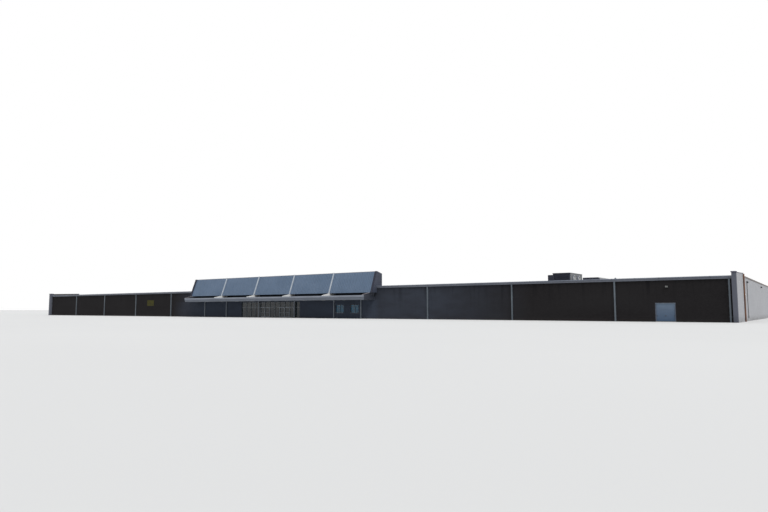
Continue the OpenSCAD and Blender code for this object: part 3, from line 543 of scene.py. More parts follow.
# Low corner, high corner, top of the felt, and the side on which the roof lies
for low, high, top, roof_side in (
        ((left, rear - FELT_RUN), (right, rear), side_low.z, (0, -1)),
        ((left, back), (left + FELT_RUN, rear - FELT_RUN), side_low.z, (1, 0)),
        ((right - FELT_RUN, back), (right, rear - FELT_RUN), side_low.z, (-1, 0)),
        ((left, front), (left + FELT_RUN, back), RETURN_FELT_TOP, (1, 0)),
        ((right - FELT_RUN, front), (right, back), RETURN_FELT_TOP, (-1, 0)),
        ((left + FELT_RUN, front), (BLOCK_LEFT, front + FELT_RUN), caps_low.z, (0, 1)),
        ((BLOCK_RIGHT, front), (right - FELT_RUN, front + FELT_RUN), caps_low.z, (0, 1)),
        ((BLOCK_LEFT - FELT_RUN, front + FELT_RUN), (BLOCK_LEFT, back_high.y + FELT_RUN),
         MANSARD_FELT_TOP, (-1, 0)),
        ((BLOCK_RIGHT, front + FELT_RUN), (BLOCK_RIGHT + FELT_RUN, back_high.y + FELT_RUN),
         MANSARD_FELT_TOP, (1, 0)),
        ((BLOCK_LEFT, back_high.y), (BLOCK_RIGHT, back_high.y + FELT_RUN), MANSARD_FELT_TOP, (0, 1))):
    fillet = add_block("fillet", (*low, ROOF), (*high, ROOF + FELT_RUN))
    roofward = [side > 0 for side in roof_side]
    along = 0 if roof_side[0] else 1
    rim = (high if roofward[along] else low)[along]
    open_up(fillet)
    pick_edges(fillet, lambda end: abs(end[along] - rim) < 0.001 and end.z > ROOF + FELT_RUN / 2)
    bpy.ops.mesh.bevel(offset=FILLET, segments=1)
    pick_faces(fillet, looking(z=1))
    pull_out((0, 0, top - ROOF - FELT_RUN))
    # The faces already look outwards. Turning them again goes wrong on the two front strips,
    # whose tops are pressed down under the cap.
    bpy.ops.object.mode_set(mode="OBJECT")
    fillets.append(fillet)
fix_on(join_as("roof_felt_edges", fillets), felt)

# On the returns the felt rises with their sloping tops: a thin sheet bonded to the inner face
# and tucked under the flashing.
RETURN_RISE = 0.025
FELT_THICK, FELT_MARGIN, FELT_LAP = 0.003, 0.002, 0.012
sheet = add_block("return_felt",
                  (right - FELT_THICK, front + FELT_MARGIN, RETURN_FELT_TOP - FELT_LAP),
                  (right, back - FELT_MARGIN, RETURN_FELT_TOP))
move_edges(sheet, lambda end: end.y > back - 0.01 and end.z > RETURN_FELT_TOP - 0.001,
           (0, 0, RETURN_RISE))
mirror_to_left(sheet)
fix_on(sheet, felt)

# The pale band along the top of the front: folded grey metal with a drip at its foot, under a
# lighter cap that is folded over the top of the wall.
fascia_metal = folded_metal("grey fascia metal", shade(82, 86, 96), shade(98, 102, 111), 0.5, 0.1)
dress(fascia_metal, "front_fascia")
cap_metal = folded_metal("light grey cap metal", shade(108, 114, 127), shade(122, 128, 140), 0.5, 0.1)
dress(cap_metal, "fascia_caps", "mansard_peak_cap", "roof_vent", "roof_unit_fans")

# Cover plates of the fascia's metal, folded over the joints of the fascia and of its cap, one
# to every sheet of three metres.
FASCIA_FACE = BRICK_FACE - 0.018
FASCIA_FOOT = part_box("front_fascia")[0].z
COVER_WIDTH = 0.007
FACE_THICK = 0.0012
SADDLE_LAP = 0.0006
DRIP_CLEAR = 0.0055
for side, first, count in (("left", caps_low.x + 0.176, 22), ("right", BLOCK_RIGHT + 0.177, 18)):
    face = add_block("face", (first, FASCIA_FACE - FACE_THICK, FASCIA_FOOT + DRIP_CLEAR),
                     (first + COVER_WIDTH, FASCIA_FACE, caps_low.z))
    saddle = add_block("saddle", (first, caps_low.y - SADDLE_LAP, caps_low.z - STRIP_LAP),
                       (first + COVER_WIDTH, caps_high.y + SADDLE_LAP, caps_high.z + STRIP_RISE))
    cover = join_as(f"fascia_joint_covers_{side}", [face, saddle])
    ease_edges(cover, 0.0004)
    repeat(cover, count, (SHEET_LENGTH, 0, 0))
    fix_on(cover, fascia_metal)

# Downpipes of pressed metal down the brick, in the fascia's grey, with a screwed lug on each
# side of every strap.
pipe_metal = folded_metal("grey downpipe metal", shade(82, 90, 98), shade(97, 105, 113), 0.5, 0.1)
dress(pipe_metal, "front_downpipes")
pipes_low, pipes_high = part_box("front_downpipes")
STRAP_HALF = 0.011
LEFT_STEP, RIGHT_STEP = 1.522, 1.544
LAST_RIGHT = 7.535
pipes = [pipes_low.x + STRAP_HALF + LEFT_STEP * step for step in range(4)]
pipes += [LAST_RIGHT - RIGHT_STEP * step for step in range(3)]
pipes.append(pipes_high.x - STRAP_HALF)
LUG_FOOT, LUG_WIDTH, LUG_HEIGHT, LUG_THICK = 0.0694, 0.007, 0.005, 0.0012
BOLT_MARGIN, BOLT_TAPER, BOLT_HEIGHT = 0.0017, 0.0003, 0.0008
STRAPS = 4
lugs = []
for pipe in pipes:
    for lug_left in (pipe - STRAP_HALF - LUG_WIDTH, pipe + STRAP_HALF):
        lug = add_block("lug", (lug_left, BRICK_FACE - LUG_THICK, LUG_FOOT),
                        (lug_left + LUG_WIDTH, BRICK_FACE, LUG_FOOT + LUG_HEIGHT))
        press(lug, looking(y=-1), (BOLT_MARGIN, 0), (BOLT_TAPER, BOLT_HEIGHT))
        lugs.append(lug)
lugs = join_as("downpipe_lugs", lugs)
repeat(lugs, STRAPS, (0, 0, FASCIA_FOOT / STRAPS))
fix_on(lugs, pipe_metal)

# Round steel pipes at the sides and the rear, standing on the ground and rusted through their
# brown paint.
rust_pipe = new_finish("rusted brown pipe", 0.8, 0.1, 0.3)
rust = blotches(rust_pipe, (0.02, 0.02, 0.07), 5, 0.35, 0.65)
rusted = over(rust_pipe, shade(100, 76, 66), shade(126, 92, 74), rust)
specks = blotches(rust_pipe, (0.005, 0.005, 0.01), 3, 0.55, 0.65, top=0.7)
show(rust_pipe, over(rust_pipe, rusted, shade(70, 54, 48), specks), rust, 0.0006)
dress(rust_pipe, "service_downpipes")

# Split rings of the same steel clamp each round pipe to the block wall in four places, their
# flat ears screwed to it.
REAR_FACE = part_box("rear_wall")[1].y
RETURN_FACE = returns_high.x
PIPE_RADIUS = 0.010
RING_RADIUS, RING_HEIGHT, FIRST_RING, RING_STEP = 0.0112, 0.006, 0.10, 0.145
EAR_HALF, EAR_THICK = 0.016, 0.003
EAR_FOOT, EAR_HEAD = FIRST_RING - RING_HEIGHT / 2, FIRST_RING + RING_HEIGHT / 2
FIRST_REAR_PIPE, REAR_STEP = -8.261, 1.524
rings = []
for step in range(12):
    pipe = FIRST_REAR_PIPE + REAR_STEP * step
    ring = add_round("ring", RING_RADIUS, RING_HEIGHT, (pipe, REAR_FACE + PIPE_RADIUS, FIRST_RING))
    ears = add_block("ears", (pipe - EAR_HALF, REAR_FACE, EAR_FOOT),
                     (pipe + EAR_HALF, REAR_FACE + EAR_THICK, EAR_HEAD))
    rings += [ring, ears]
SIDE_PIPE = back - 0.055
# The side rings are cut off flat where they would stand out past the pipe.
RING_CUT = cad_box[1][0] - 0.0001
for end in (-1, 1):
    ring = add_round("ring", RING_RADIUS, RING_HEIGHT,
                     (end * (RETURN_FACE + PIPE_RADIUS), SIDE_PIPE, FIRST_RING))
    open_up(ring)
    bpy.ops.mesh.select_all(action="SELECT")
    bpy.ops.mesh.bisect(plane_co=(end * RING_CUT, 0, 0), plane_no=(end, 0, 0), use_fill=True,
                        clear_outer=True)
    close_up()
    ears = add_block("ears", (end * RETURN_FACE, SIDE_PIPE - EAR_HALF, EAR_FOOT),
                     (end * (RETURN_FACE + EAR_THICK), SIDE_PIPE + EAR_HALF, EAR_HEAD))
    rings += [ring, ears]
rings = join_as("round_pipe_clamps", rings)
repeat(rings, 4, (0, 0, RING_STEP))
ease_edges(rings, 0.0004, 1)
fix_on(rings, rust_pipe)

# The mansard: five bays of blue-grey standing-seam sheet between pale ribs on a steel frame,
# with a soffit below painted near black as painted shadow. White gussets carry the ribs' feet out
# over the canopy.
panel_metal = new_finish("blue-grey seamed sheet", 0.45, 0.1, 0.4)
chalky = blotches(panel_metal, (0.5, 0.2, 0.3))
faded = over(panel_metal, shade(84, 103, 126), shade(94, 112, 135), chalky)
drips = blotches(panel_metal, (0.018, 0.3, 0.3), low=0.5, high=0.75, top=0.35)
streaked = over(panel_metal, faded, shade(68, 80, 96), drips)
buckled = cloud(panel_metal, (0.05, 0.4, 0.22), 2)
matt = blotches(panel_metal, (0.04, 0.04, 0.1), 3, bottom=0.4, top=0.56)
show(panel_metal, streaked, buckled, 0.002, matt)
dress(panel_metal, "mansard_panels", "mansard_top_sheet", "mansard_back_wall")
rib_paint = folded_metal("pale rib paint", shade(166, 174, 184), shade(184, 190, 196), 0.5, 0.0)
dress(rib_paint, "mansard_ribs")
gusset_paint = folded_metal("white gusset paint", shade(218, 220, 221), shade(228, 229, 229), 0.5, 0.0)
dress(gusset_paint, "mansard_gussets")
# The soffit is painted near black: painted shadow under the mansard.
painted_shadow_metal = folded_metal("soffit metal in painted shadow", shade(34, 35, 41), shade(44, 45, 50), 0.6, 0.1, 0.2)
dress(painted_shadow_metal, "mansard_soffit")

# The mansard's end walls: lapped boards nailed to the frame, in a weathered blue-grey that is
# darker low down and along the raked front edge, where a metal trim wraps the wall.
RAKE = 2.7458
TOP_FALL = 0.2685
TRIM_WIDTH = 0.010
ends_low, ends_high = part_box("mansard_end_walls")
cladding = new_finish("weathered blue-grey boards", 0.8, gloss=0.25)
bleached = blotches(cladding, (0.25, 0.25, 0.02))
boards = over(cladding, shade(62, 66, 79), shade(74, 78, 90), bleached)
# The boards are darker towards the bottom.
darker_low = over(cladding, boards, shade(54, 60, 75), from_to(cladding, "Z", 0.66, 0.50, 0.0, 0.8))
# The raked edge rises by the rake for each metre back, so height less rake times place is the
# same all along it, and grows towards the front.
behind = times(cladding, place_along(cladding, "Y"), -RAKE)
to_edge = plus(cladding, place_along(cladding, "Z"), behind)
trim_line = ends_low.z - RAKE * (ends_low.y + TRIM_WIDTH)
at_edge = between(cladding, to_edge, trim_line - 0.001, trim_line + 0.002)
grain = cloud(cladding, (0.004, 0.06, 0.003), 4)
show(cladding, over(cladding, darker_low, shade(48, 50, 62), at_edge), grain, 0.0006)
dress(cladding, "mansard_end_walls")


def copy_to_left(name, piece):
    """Copies a piece to the entrance block's left end, mirrored about the block's middle."""
    bpy.ops.object.select_all(action="DESELECT")
    piece.select_set(True)
    bpy.context.view_layer.objects.active = piece
    bpy.ops.object.duplicate()
    other = bpy.context.object
    other.name = name
    bpy.ops.transform.resize(value=(-1, 1, 1), center_override=(BLOCK_MIDDLE, 0, 0))
    bpy.ops.object.transform_apply()
    open_up(other)
    close_up()
    return other


def lapped_board(name, face, front, back, foot, head):
    """A board on the block's right end, its upper edge lying back under the board above."""
    board = add_block(name, (face, front, foot), (face + BOARD_THICK, back, head))
    half_up = (foot + head) / 2
    move_edges(board, lambda end: end.x > face + BOARD_THICK / 2 and end.z > half_up,
               (-BOARD_LAP, 0, 0))
    return board


BLOCK_MIDDLE = (BLOCK_LEFT + BLOCK_RIGHT) / 2
BOARD_THICK = 0.0018
BOARD_LAP = 0.0013
board_front = ends_low.y - 0.001
over_fascia = FASCIA_FOOT - 0.001
boards = []
# Foot and head of a stretch of boards, its front and back edge, and how many boards it has
for foot, head, front, back, count in (
        (ends_low.z, over_fascia, board_front, BRICK_FACE, 4),
        (over_fascia, caps_high.z, board_front, caps_low.y, 2),
        (ROOF, caps_high.z, caps_high.y, ends_high.y, 2),
        (caps_high.z, ends_high.z, board_front, ends_high.y, 13)):
    width = (head - foot) / count
    board = lapped_board("board", BLOCK_RIGHT, front, back, foot, foot + width)
    repeat(board, count, (0, 0, width))
    boards.append(board)
boards = join_as("gable_boards_right", boards)
open_up(boards)
# The boards butt against the trim of the raked edge, and are cut along the sloping top.
for point, away in (((BLOCK_RIGHT, ends_low.y + TRIM_WIDTH, ends_low.z), (0, -RAKE, 1)),
                    ((BLOCK_RIGHT, BRICK_FACE, ends_high.z), (0, TOP_FALL, 1))):
    bpy.ops.mesh.select_all(action="SELECT")
    bpy.ops.mesh.bisect(plane_co=point, plane_no=Vector(away).normalized(), clear_outer=True)
    bpy.ops.mesh.select_all(action="SELECT")
    bpy.ops.mesh.fill_holes(sides=0)
close_up()
fix_on(boards, cladding)
fix_on(copy_to_left("gable_boards_left", boards), cladding)

# Cover strips of the cap's own metal over its joints along the peak, folded down over its front
# and its back.
PEAK_SHEET = 0.5226
PEAK_COVER = 0.006
peak_low, peak_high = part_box("mansard_peak_cap")
first = peak_low.x + 0.523
cover = add_block("peak_cap_joints", (first, peak_low.y - 0.0003, peak_high.z - 0.0155),
                  (first + PEAK_COVER, peak_high.y + STRIP_LAP, peak_high.z + STRIP_RISE))
ease_edges(cover, 0.0004)
repeat(cover, 9, (PEAK_SHEET, 0, 0))
fix_on(cover, cap_metal)

# Raised seams between the sheets of the mansard's back, each pressed from the panels' own metal
# and running from the felt at its foot to just under the top sheet.
BACK_SHEET = 0.2912
SEAM_WIDTH, SEAM_DEPTH, SEAM_HEIGHT = 0.005, 0.0025, 0.215
first = back_low.x + 0.260
seam_foot = MANSARD_FELT_TOP + 0.001
seam = add_block("mansard_back_seams", (first, back_high.y, seam_foot),
                 (first + SEAM_WIDTH, back_high.y + SEAM_DEPTH, seam_foot + SEAM_HEIGHT))
press(seam, looking(y=1), (0.001, 0.0008))
repeat(seam, 17, (BACK_SHEET, 0, 0))
fix_on(seam, panel_metal)

# The canopy: a boxed metal fascia with a dark joint between its sheets, and flat sheet under it.
# Its upright band is painted lighter than its raked face, which looks down: painted shade.
BAND_FOOT = 0.393
CANOPY_SHEET = 0.3457
canopy_metal = new_finish("canopy metal with painted shade", 0.5, 0.1, 0.4)
# Lighter on the upright band than on the raked face: painted shade on the face that looks down.
band = from_to(canopy_metal, "Z", BAND_FOOT, BAND_FOOT + 0.004)
lit_and_shaded_tone = over(canopy_metal, shade(104, 110, 121), shade(132, 138, 149), band)
worn = blotches(canopy_metal, (0.3, 0.3, 0.05), low=0.4, high=0.75, top=0.4)
aged = over(canopy_metal, lit_and_shaded_tone, shade(78, 83, 92), worn)
to_joint = node(canopy_metal, "Math", {0: place_along(canopy_metal, "X"), 1: CANOPY_SHEET},
                operation="PINGPONG").outputs[0]
gap = between(canopy_metal, to_joint, 0.0006, 0.0010, 0.8, 0.0)
relief = plus(canopy_metal, worn, times(canopy_metal, gap, -1.0))
show(canopy_metal, over(canopy_metal, aged, shade(48, 51, 58), gap), relief, 0.001)
dress(canopy_metal, "canopy_fascia")
soffit_metal = folded_metal("grey soffit sheet", shade(104, 109, 116), shade(116, 121, 127), 0.6, 0.1)
dress(soffit_metal, "canopy_soffit")

# The plates that carry the mansard's corners over the canopy's ends are dark boards, with a light
# flashing over their sloping edge. By the wall, under the end wall's overhang, they are painted
# paler as painted light against its shadow.
PLATE_SLOPE = 0.2087
FLASHING_LINE = 1.1028
deck_low, deck_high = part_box("canopy_deck")
DECK = deck_high.z
end_paint = new_finish("dark end boards", 0.8, gloss=0.2)
bleached = blotches(end_paint, (0.2, 0.2, 0.02), low=0.32, high=0.72)
boards = over(end_paint, shade(50, 54, 64), shade(61, 64, 73), bleached)
# Paler by the wall, under the end wall's overhang: painted light against its shadow.
above_deck = from_to(end_paint, "Z", DECK, DECK + 0.004)
by_wall = times(end_paint, from_to(end_paint, "Y", -3.06, -3.0), above_deck)
fill_lit_boards = over(end_paint, boards, shade(84, 87, 96), by_wall)
# The sloping edge rises by the slope for each metre back, as the raked edge does.
up_slope = plus(end_paint, place_along(end_paint, "Z"),
                times(end_paint, place_along(end_paint, "Y"), -PLATE_SLOPE))
flashed = between(end_paint, up_slope, FLASHING_LINE, FLASHING_LINE + 0.0005)
show(end_paint, over(end_paint, fill_lit_boards, shade(132, 128, 132), flashed), bleached, 0.0006)
dress(end_paint, "canopy_end_plates", "canopy_end_fascias")

# Four lapped boards in the same paint close each of the canopy's own ends. They are nailed
# over the end fascia, a little short of its edges.
END_BOARD = 0.020
END_MARGIN = 0.001
end_low, end_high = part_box("canopy_end_fascias")
board_foot = end_low.z + END_MARGIN
board = lapped_board("canopy_end_boards_right", end_high.x, end_low.y + END_MARGIN,
                     end_high.y - END_MARGIN, board_foot, board_foot + END_BOARD)
repeat(board, 4, (0, 0, END_BOARD))
fix_on(board, end_paint)
fix_on(copy_to_left("canopy_end_boards_left", board), end_paint)

# Steel angles in the gussets' white hold each gusset's foot on both sides, with four nuts a side
# that bolt them down to the canopy's deck.
RIB_STEP = 1.05
GUSSET_HALF = 0.008
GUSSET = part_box("mansard_gussets")[0].x + GUSSET_HALF
ANGLE_FRONT, ANGLE_LENGTH = deck_low.y + 0.025, 0.18
LEG_THICK, LEG_UP, LEG_OUT = 0.0012, 0.010, 0.012
NUT_SIZE = 0.0022
NUT_OUT, FIRST_NUT, NUT_STEP = 0.0075, ANGLE_FRONT + 0.015, 0.05
cleats = []
for side in (-1, 1):
    cheek = GUSSET + side * GUSSET_HALF
    for thick, high in ((LEG_THICK, LEG_UP), (LEG_OUT, LEG_THICK)):
        cleats.append(add_block("leg", (cheek, ANGLE_FRONT, DECK),
                                (cheek + side * thick, ANGLE_FRONT + ANGLE_LENGTH, DECK + high)))
    for step in range(4):
        place = (cheek + side * NUT_OUT, FIRST_NUT + NUT_STEP * step, DECK + 0.002)
        cleats.append(add_round("nut", NUT_SIZE, NUT_SIZE, place, sides=6))
cleats = join_as("gusset_cleats", cleats)
ease_edges(cleats, 0.0003, 1)
repeat(cleats, 4, (RIB_STEP, 0, 0))
fix_on(cleats, gusset_paint)

# Flush lights in the canopy's soffit, each a clouded plastic lens in a folded frame that is
# screwed to the sheet.
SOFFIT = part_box("canopy_soffit")[0].z
LIGHTS = 9
LIGHT_SIDE, LIGHT_DROP, LIGHT_STEP = 0.06, 0.0025, 0.5
light_left = BLOCK_MIDDLE - LIGHT_STEP * (LIGHTS - 1) / 2 - LIGHT_SIDE / 2
light_front = deck_low.y + 0.125
soffit_light = add_block("soffit_lights", (light_left, light_front, SOFFIT - LIGHT_DROP),
                         (light_left + LIGHT_SIDE, light_front + LIGHT_SIDE, SOFFIT))
press(soffit_light, looking(z=-1), (0.005, 0), (0.001, -0.0015))
repeat(soffit_light, LIGHTS, (LIGHT_STEP, 0, 0))
lens_plastic = spotted("clouded lens plastic", shade(168, 170, 168), shade(190, 190, 184), 0.35)
fix_on(soffit_light, lens_plastic)

# Square steel columns under the canopy, welded to a plate at the head and bolted down through
# one at the foot.
column_paint = folded_metal("grey column paint", shade(108, 115, 124), shade(120, 126, 134), 0.5, 0.0)
dress(column_paint, "canopy_columns")
columns_low, columns_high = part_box("canopy_columns")
COLUMN_HALF = 0.009
COLUMN_SHIFT = 0.008
columns = [columns_low.x + COLUMN_HALF, columns_high.x - COLUMN_HALF]
columns += [GUSSET + COLUMN_SHIFT + RIB_STEP * step for step in range(4)]
PLATE_BACK = BRICK_FACE - 0.0002
FOOT_HALF, FOOT_OUT, FOOT_THICK = 0.014, 0.025, 0.003
HEAD_HALF, HEAD_OUT, HEAD_THICK = 0.012, 0.023, 0.0025
BOLT_APART, BOLT_OUT, BOLT_RADIUS = 0.0115, 0.0225, 0.0018
plates = []
for column in columns:
    plates.append(add_block("foot", (column - FOOT_HALF, BRICK_FACE - FOOT_OUT, 0),
                            (column + FOOT_HALF, PLATE_BACK, FOOT_THICK)))
    plates.append(add_block("head", (column - HEAD_HALF, BRICK_FACE - HEAD_OUT, SOFFIT - HEAD_THICK),
                            (column + HEAD_HALF, PLATE_BACK, SOFFIT)))
    for across in (-BOLT_APART, BOLT_APART):
        place = (column + across, BRICK_FACE - BOLT_OUT, FOOT_THICK * 1.5)
        plates.append(add_round("bolt", BOLT_RADIUS, FOOT_THICK, place, sides=6))
plates = join_as("column_plates", plates)
ease_edges(plates, 0.0003, 1)
fix_on(plates, column_paint)

# Shop-front glazing: dark tinted glass in frames of natural anodised aluminium, screwed into
# the openings. The two windows' glass is painted cyan as a painted reflection of the sky.
aluminium = folded_metal("anodised frame", shade(98, 104, 111), shade(114, 120, 126), 0.35, 0.6)
dress(aluminium, "glazing_frames", "entrance_doors")
ENTRANCE_END, WINDOWS_START = 1.9, 2.1
glass = new_finish("dark tinted glass", 0.06)
smears = blotches(glass, (0.05, 0.05, 0.12), low=0.35)
gleam = between(glass, smears, 0.0, 1.0, 0.03, 0.09)
entrance_tint = over(glass, shade(37, 46, 52), shade(47, 57, 63), smears)
# The windows' cyan is a painted reflection of the sky.
sky_reflection_tint = over(glass, shade(30, 94, 126), shade(40, 106, 136), smears)
at_windows = from_to(glass, "X", ENTRANCE_END, WINDOWS_START)
show(glass, over(glass, entrance_tint, sky_reflection_tint, at_windows), rough=gleam)
glass_shader = glass.node_tree.nodes["Principled BSDF"]
glass_shader.inputs["Transmission Weight"].default_value = 0.4
glass_shader.inputs["IOR"].default_value = 1.45
dress(glass, "glazing_glass")

# A sensor over each pair of entrance doors, moulded in black plastic with a slanting eye and
# clipped to the transom.


def bevel_edges(piece, test, width, segments=1):
    """Cuts off the edges of which both ends pass a test."""
    open_up(piece)
    pick_edges(piece, test)
    bpy.ops.mesh.bevel(offset=width, segments=segments)
    close_up()


PAIR_MIDDLE, PAIR_STEP = 0.4117, 0.5813
DOOR_FACE = BRICK_FACE + 0.008
SENSOR_HALF, SENSOR_OUT, SENSOR_FOOT, SENSOR_HEAD = 0.020, 0.007, 0.2125, 0.2195
sensor = add_block("door_sensors", (PAIR_MIDDLE - SENSOR_HALF, DOOR_FACE - SENSOR_OUT, SENSOR_FOOT),
                   (PAIR_MIDDLE + SENSOR_HALF, DOOR_FACE, SENSOR_HEAD))
bevel_edges(sensor, lambda end: end.y < DOOR_FACE - 0.006 and end.z < SENSOR_FOOT + 0.001, 0.003)
ease_edges(sensor, 0.0005)
repeat(sensor, 2, (PAIR_STEP, 0, 0))
sensor_plastic = new_finish("black sensor plastic", 0.4)
pores = cloud(sensor_plastic, 0.002)
show(sensor_plastic, over(sensor_plastic, shade(24, 24, 26), shade(34, 34, 36), pores), pores, 0.0002)
fix_on(sensor, sensor_plastic)

# Each door leaf has a round pull bar of brushed metal on its meeting stile, held off the glass
# by two posts.
BAR_RADIUS, BAR_LENGTH, BAR_OUT, BAR_HEIGHT = 0.0013, 0.05, 0.0055, 0.112
POST_RADIUS, POST_LENGTH, POST_APART = 0.001, 0.006, 0.020
STILE = 0.0046
pulls = []
for stile in (PAIR_MIDDLE - STILE, PAIR_MIDDLE + STILE):
    pulls.append(add_round("bar", BAR_RADIUS, BAR_LENGTH, (stile, DOOR_FACE - BAR_OUT, BAR_HEIGHT),
                           sides=12))
    for height in (BAR_HEIGHT - POST_APART, BAR_HEIGHT + POST_APART):
        place = (stile, DOOR_FACE - POST_LENGTH / 2, height)
        pulls.append(add_round("post", POST_RADIUS, POST_LENGTH, place, TO_FRONT, 12))
pulls = join_as("door_pulls", pulls)
ease_edges(pulls, 0.0003, 1)
repeat(pulls, 2, (PAIR_STEP, 0, 0))
pull_metal = folded_metal("brushed pull bar", shade(128, 131, 133), shade(146, 148, 149), 0.3, 0.8)
fix_on(pulls, pull_metal)

# Roller shutters: interlocking steel slats painted light blue-grey, darker and bluer towards the
# bottom, that run in folded guides of the same paint under a head. The slats' upper part and the
# head are painted paler as painted light against the shadow under the lintel.
slat_paint = new_finish("blue-grey slat paint", 0.55, 0.1, 0.35)
faded = over(slat_paint, shade(82, 98, 118), shade(89, 105, 125), blotches(slat_paint, (0.1, 0.1, 0.05)))
# Paler towards the top: painted light against the shadow under the lintel.
bleached = over(slat_paint, faded, shade(102, 120, 139), from_to(slat_paint, "Z", 0.16, 0.25))
# Darker and bluer towards the bottom.
low_down = from_to(slat_paint, "Z", 0.17, 0.0, 0.0, 0.85)
soiled = over(slat_paint, bleached, shade(56, 78, 104), low_down)
scuffs = blotches(slat_paint, (0.03, 0.03, 0.004), low=0.6, high=0.75, top=0.4)
show(slat_paint, over(slat_paint, soiled, shade(60, 72, 88), scuffs), scuffs, 0.0004)
dress(slat_paint, "roller_curtains")
guide_paint = new_finish("blue-grey guide paint", 0.55, 0.1, 0.35)
chalky = blotches(guide_paint, 0.04)
# The head is painted paler: painted light against the lintel's shadow.
painted_lit_head = from_to(guide_paint, "Z", 0.242, 0.246)
bleached = over(guide_paint, shade(76, 83, 97), shade(122, 136, 152), painted_lit_head)
chalked = over(guide_paint, bleached, shade(94, 101, 113), times(guide_paint, chalky, 0.5))
show(guide_paint, chalked, chalky, 0.0004)
dress(guide_paint, "roller_guides")

# A lock on each curtain, in worn bare steel: a T handle on a round rose throws a slide bolt
# into either guide.
DOCK_STEP = 0.528
LOCK_HEIGHT = 0.0815
BOLT_ENDS = (0.014, 0.030)
BOLT_HALF, BOLT_BACK, BOLT_FRONT = 0.002, 0.008, 0.0055
ROSE_RADIUS, ROSE_THICK = 0.006, 0.003
HANDLE_HALF, HANDLE_THICK, HANDLE_BACK, HANDLE_FRONT = 0.0075, 0.001, 0.0045, 0.0025
locks = []
# Left edge of each door, its wall side, and the way inwards
for left, face, inwards in ((shutters_high.x - SHUTTER_WIDTH, shutters_low.y, 1),
                            (shutters_low.x, shutters_high.y, -1),
                            (shutters_low.x + DOCK_STEP, shutters_high.y, -1)):
    middle = left + SHUTTER_WIDTH / 2
    for near, far in (BOLT_ENDS, [SHUTTER_WIDTH - end for end in BOLT_ENDS]):
        locks.append(add_block("bolt", (left + near, face + inwards * BOLT_BACK, LOCK_HEIGHT - BOLT_HALF),
                               (left + far, face + inwards * BOLT_FRONT, LOCK_HEIGHT + BOLT_HALF)))
    locks.append(add_round("rose", ROSE_RADIUS, ROSE_THICK,
                           (middle, face + inwards * BOLT_FRONT, LOCK_HEIGHT), TO_FRONT))
    locks.append(add_block(
        "handle", (middle - HANDLE_HALF, face + inwards * HANDLE_BACK, LOCK_HEIGHT - HANDLE_THICK),
        (middle + HANDLE_HALF, face + inwards * HANDLE_FRONT, LOCK_HEIGHT + HANDLE_THICK)))
locks = join_as("roller_locks", locks)
ease_edges(locks, 0.0004, 1)
lock_steel = folded_metal("worn lock steel", shade(70, 72, 76), shade(92, 92, 92), 0.4, 0.6, size=0.01)
fix_on(locks, lock_steel)

# Flush steel exit doors at the rear, in a plain grey paint. The frames are pressed sheet, screwed
# into the opening in the block, and a darker grey.
door_paint = folded_metal("grey door paint", shade(110, 116, 122), shade(122, 128, 133), 0.5, 0.1)
dress(door_paint, "exit_doors")
exits_low, exits_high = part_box("exit_doors")
EXIT_WIDTH = 0.096
EXIT_FACE = exits_high.y
FRAME_WIDTH = 0.005
exits = ((exits_low.x, exits_low.x + EXIT_WIDTH), (exits_high.x - EXIT_WIDTH, exits_high.x))
frames = []
for left, right in exits:
    surround = add_block("surround", (left, EXIT_FACE, 0.001), (right, REAR_FACE + 0.0006, exits_high.z))
    open_up(surround)
    pick_faces(surround, lambda out: abs(out.y) > 0.99)
    bpy.ops.mesh.inset(thickness=FRAME_WIDTH, use_even_offset=True)
    bpy.ops.mesh.bridge_edge_loops()
    close_up()
    frames.append(surround)
frame_paint = folded_metal("dark door frame paint", shade(66, 70, 76), shade(78, 82, 87), 0.5, 0.1)
fix_on(join_as("exit_door_frames", frames), frame_paint)

# Their fittings, in the locks' worn steel: three hinges, a lever on a plate, and a closer boxed
# along the top.
HINGE_HEIGHTS = (0.030, 0.105, 0.180)
HINGE_RADIUS, HINGE_LENGTH = 0.002, 0.012
STEM_IN = 0.0115
STEM_RADIUS, STEM_LENGTH = 0.0012, 0.0035
LEVER_PLATE_HALF, LEVER_PLATE_FOOT, LEVER_PLATE_HEAD = 0.003, 0.092, 0.112
LEVER_OUT = EXIT_FACE + 0.0025
LEVER_HEIGHT, LEVER_HALF, LEVER_REACH = 0.1045, 0.001, 0.0125
CLOSER_IN, CLOSER_LENGTH, CLOSER_OUT = 0.010, 0.030, 0.0045
CLOSER_FOOT, CLOSER_HEAD = 0.194, 0.2005
fittings = []
for left, right in exits:
    for height in HINGE_HEIGHTS:
        fittings.append(add_round("knuckle", HINGE_RADIUS, HINGE_LENGTH,
                                  (left + FRAME_WIDTH, LEVER_OUT, height), sides=12))
    stem = right - STEM_IN
    fittings.append(add_block("plate", (stem - LEVER_PLATE_HALF, EXIT_FACE, LEVER_PLATE_FOOT),
                              (stem + LEVER_PLATE_HALF, EXIT_FACE + 0.0015, LEVER_PLATE_HEAD)))
    fittings.append(add_block("lever", (stem - LEVER_REACH, LEVER_OUT, LEVER_HEIGHT - LEVER_HALF),
                              (stem + 0.001, LEVER_OUT + 0.002, LEVER_HEIGHT + LEVER_HALF)))
    fittings.append(add_round("stem", STEM_RADIUS, STEM_LENGTH, (stem, LEVER_OUT, LEVER_HEIGHT),
                              TO_FRONT, 12))
    closer = left + CLOSER_IN
    fittings.append(add_block("closer", (closer, EXIT_FACE, CLOSER_FOOT),
                              (closer + CLOSER_LENGTH, EXIT_FACE + CLOSER_OUT, CLOSER_HEAD)))
fittings = join_as("exit_door_fittings", fittings)
ease_edges(fittings, 0.0003, 1)
fix_on(fittings, lock_steel)

# Wall lights: a cast housing bolted to the wall, with a ribbed prismatic lens clamped to its
# front. The housings' dark grey is partly painted shade, and the side lights' lenses are painted
# near black as painted shade.


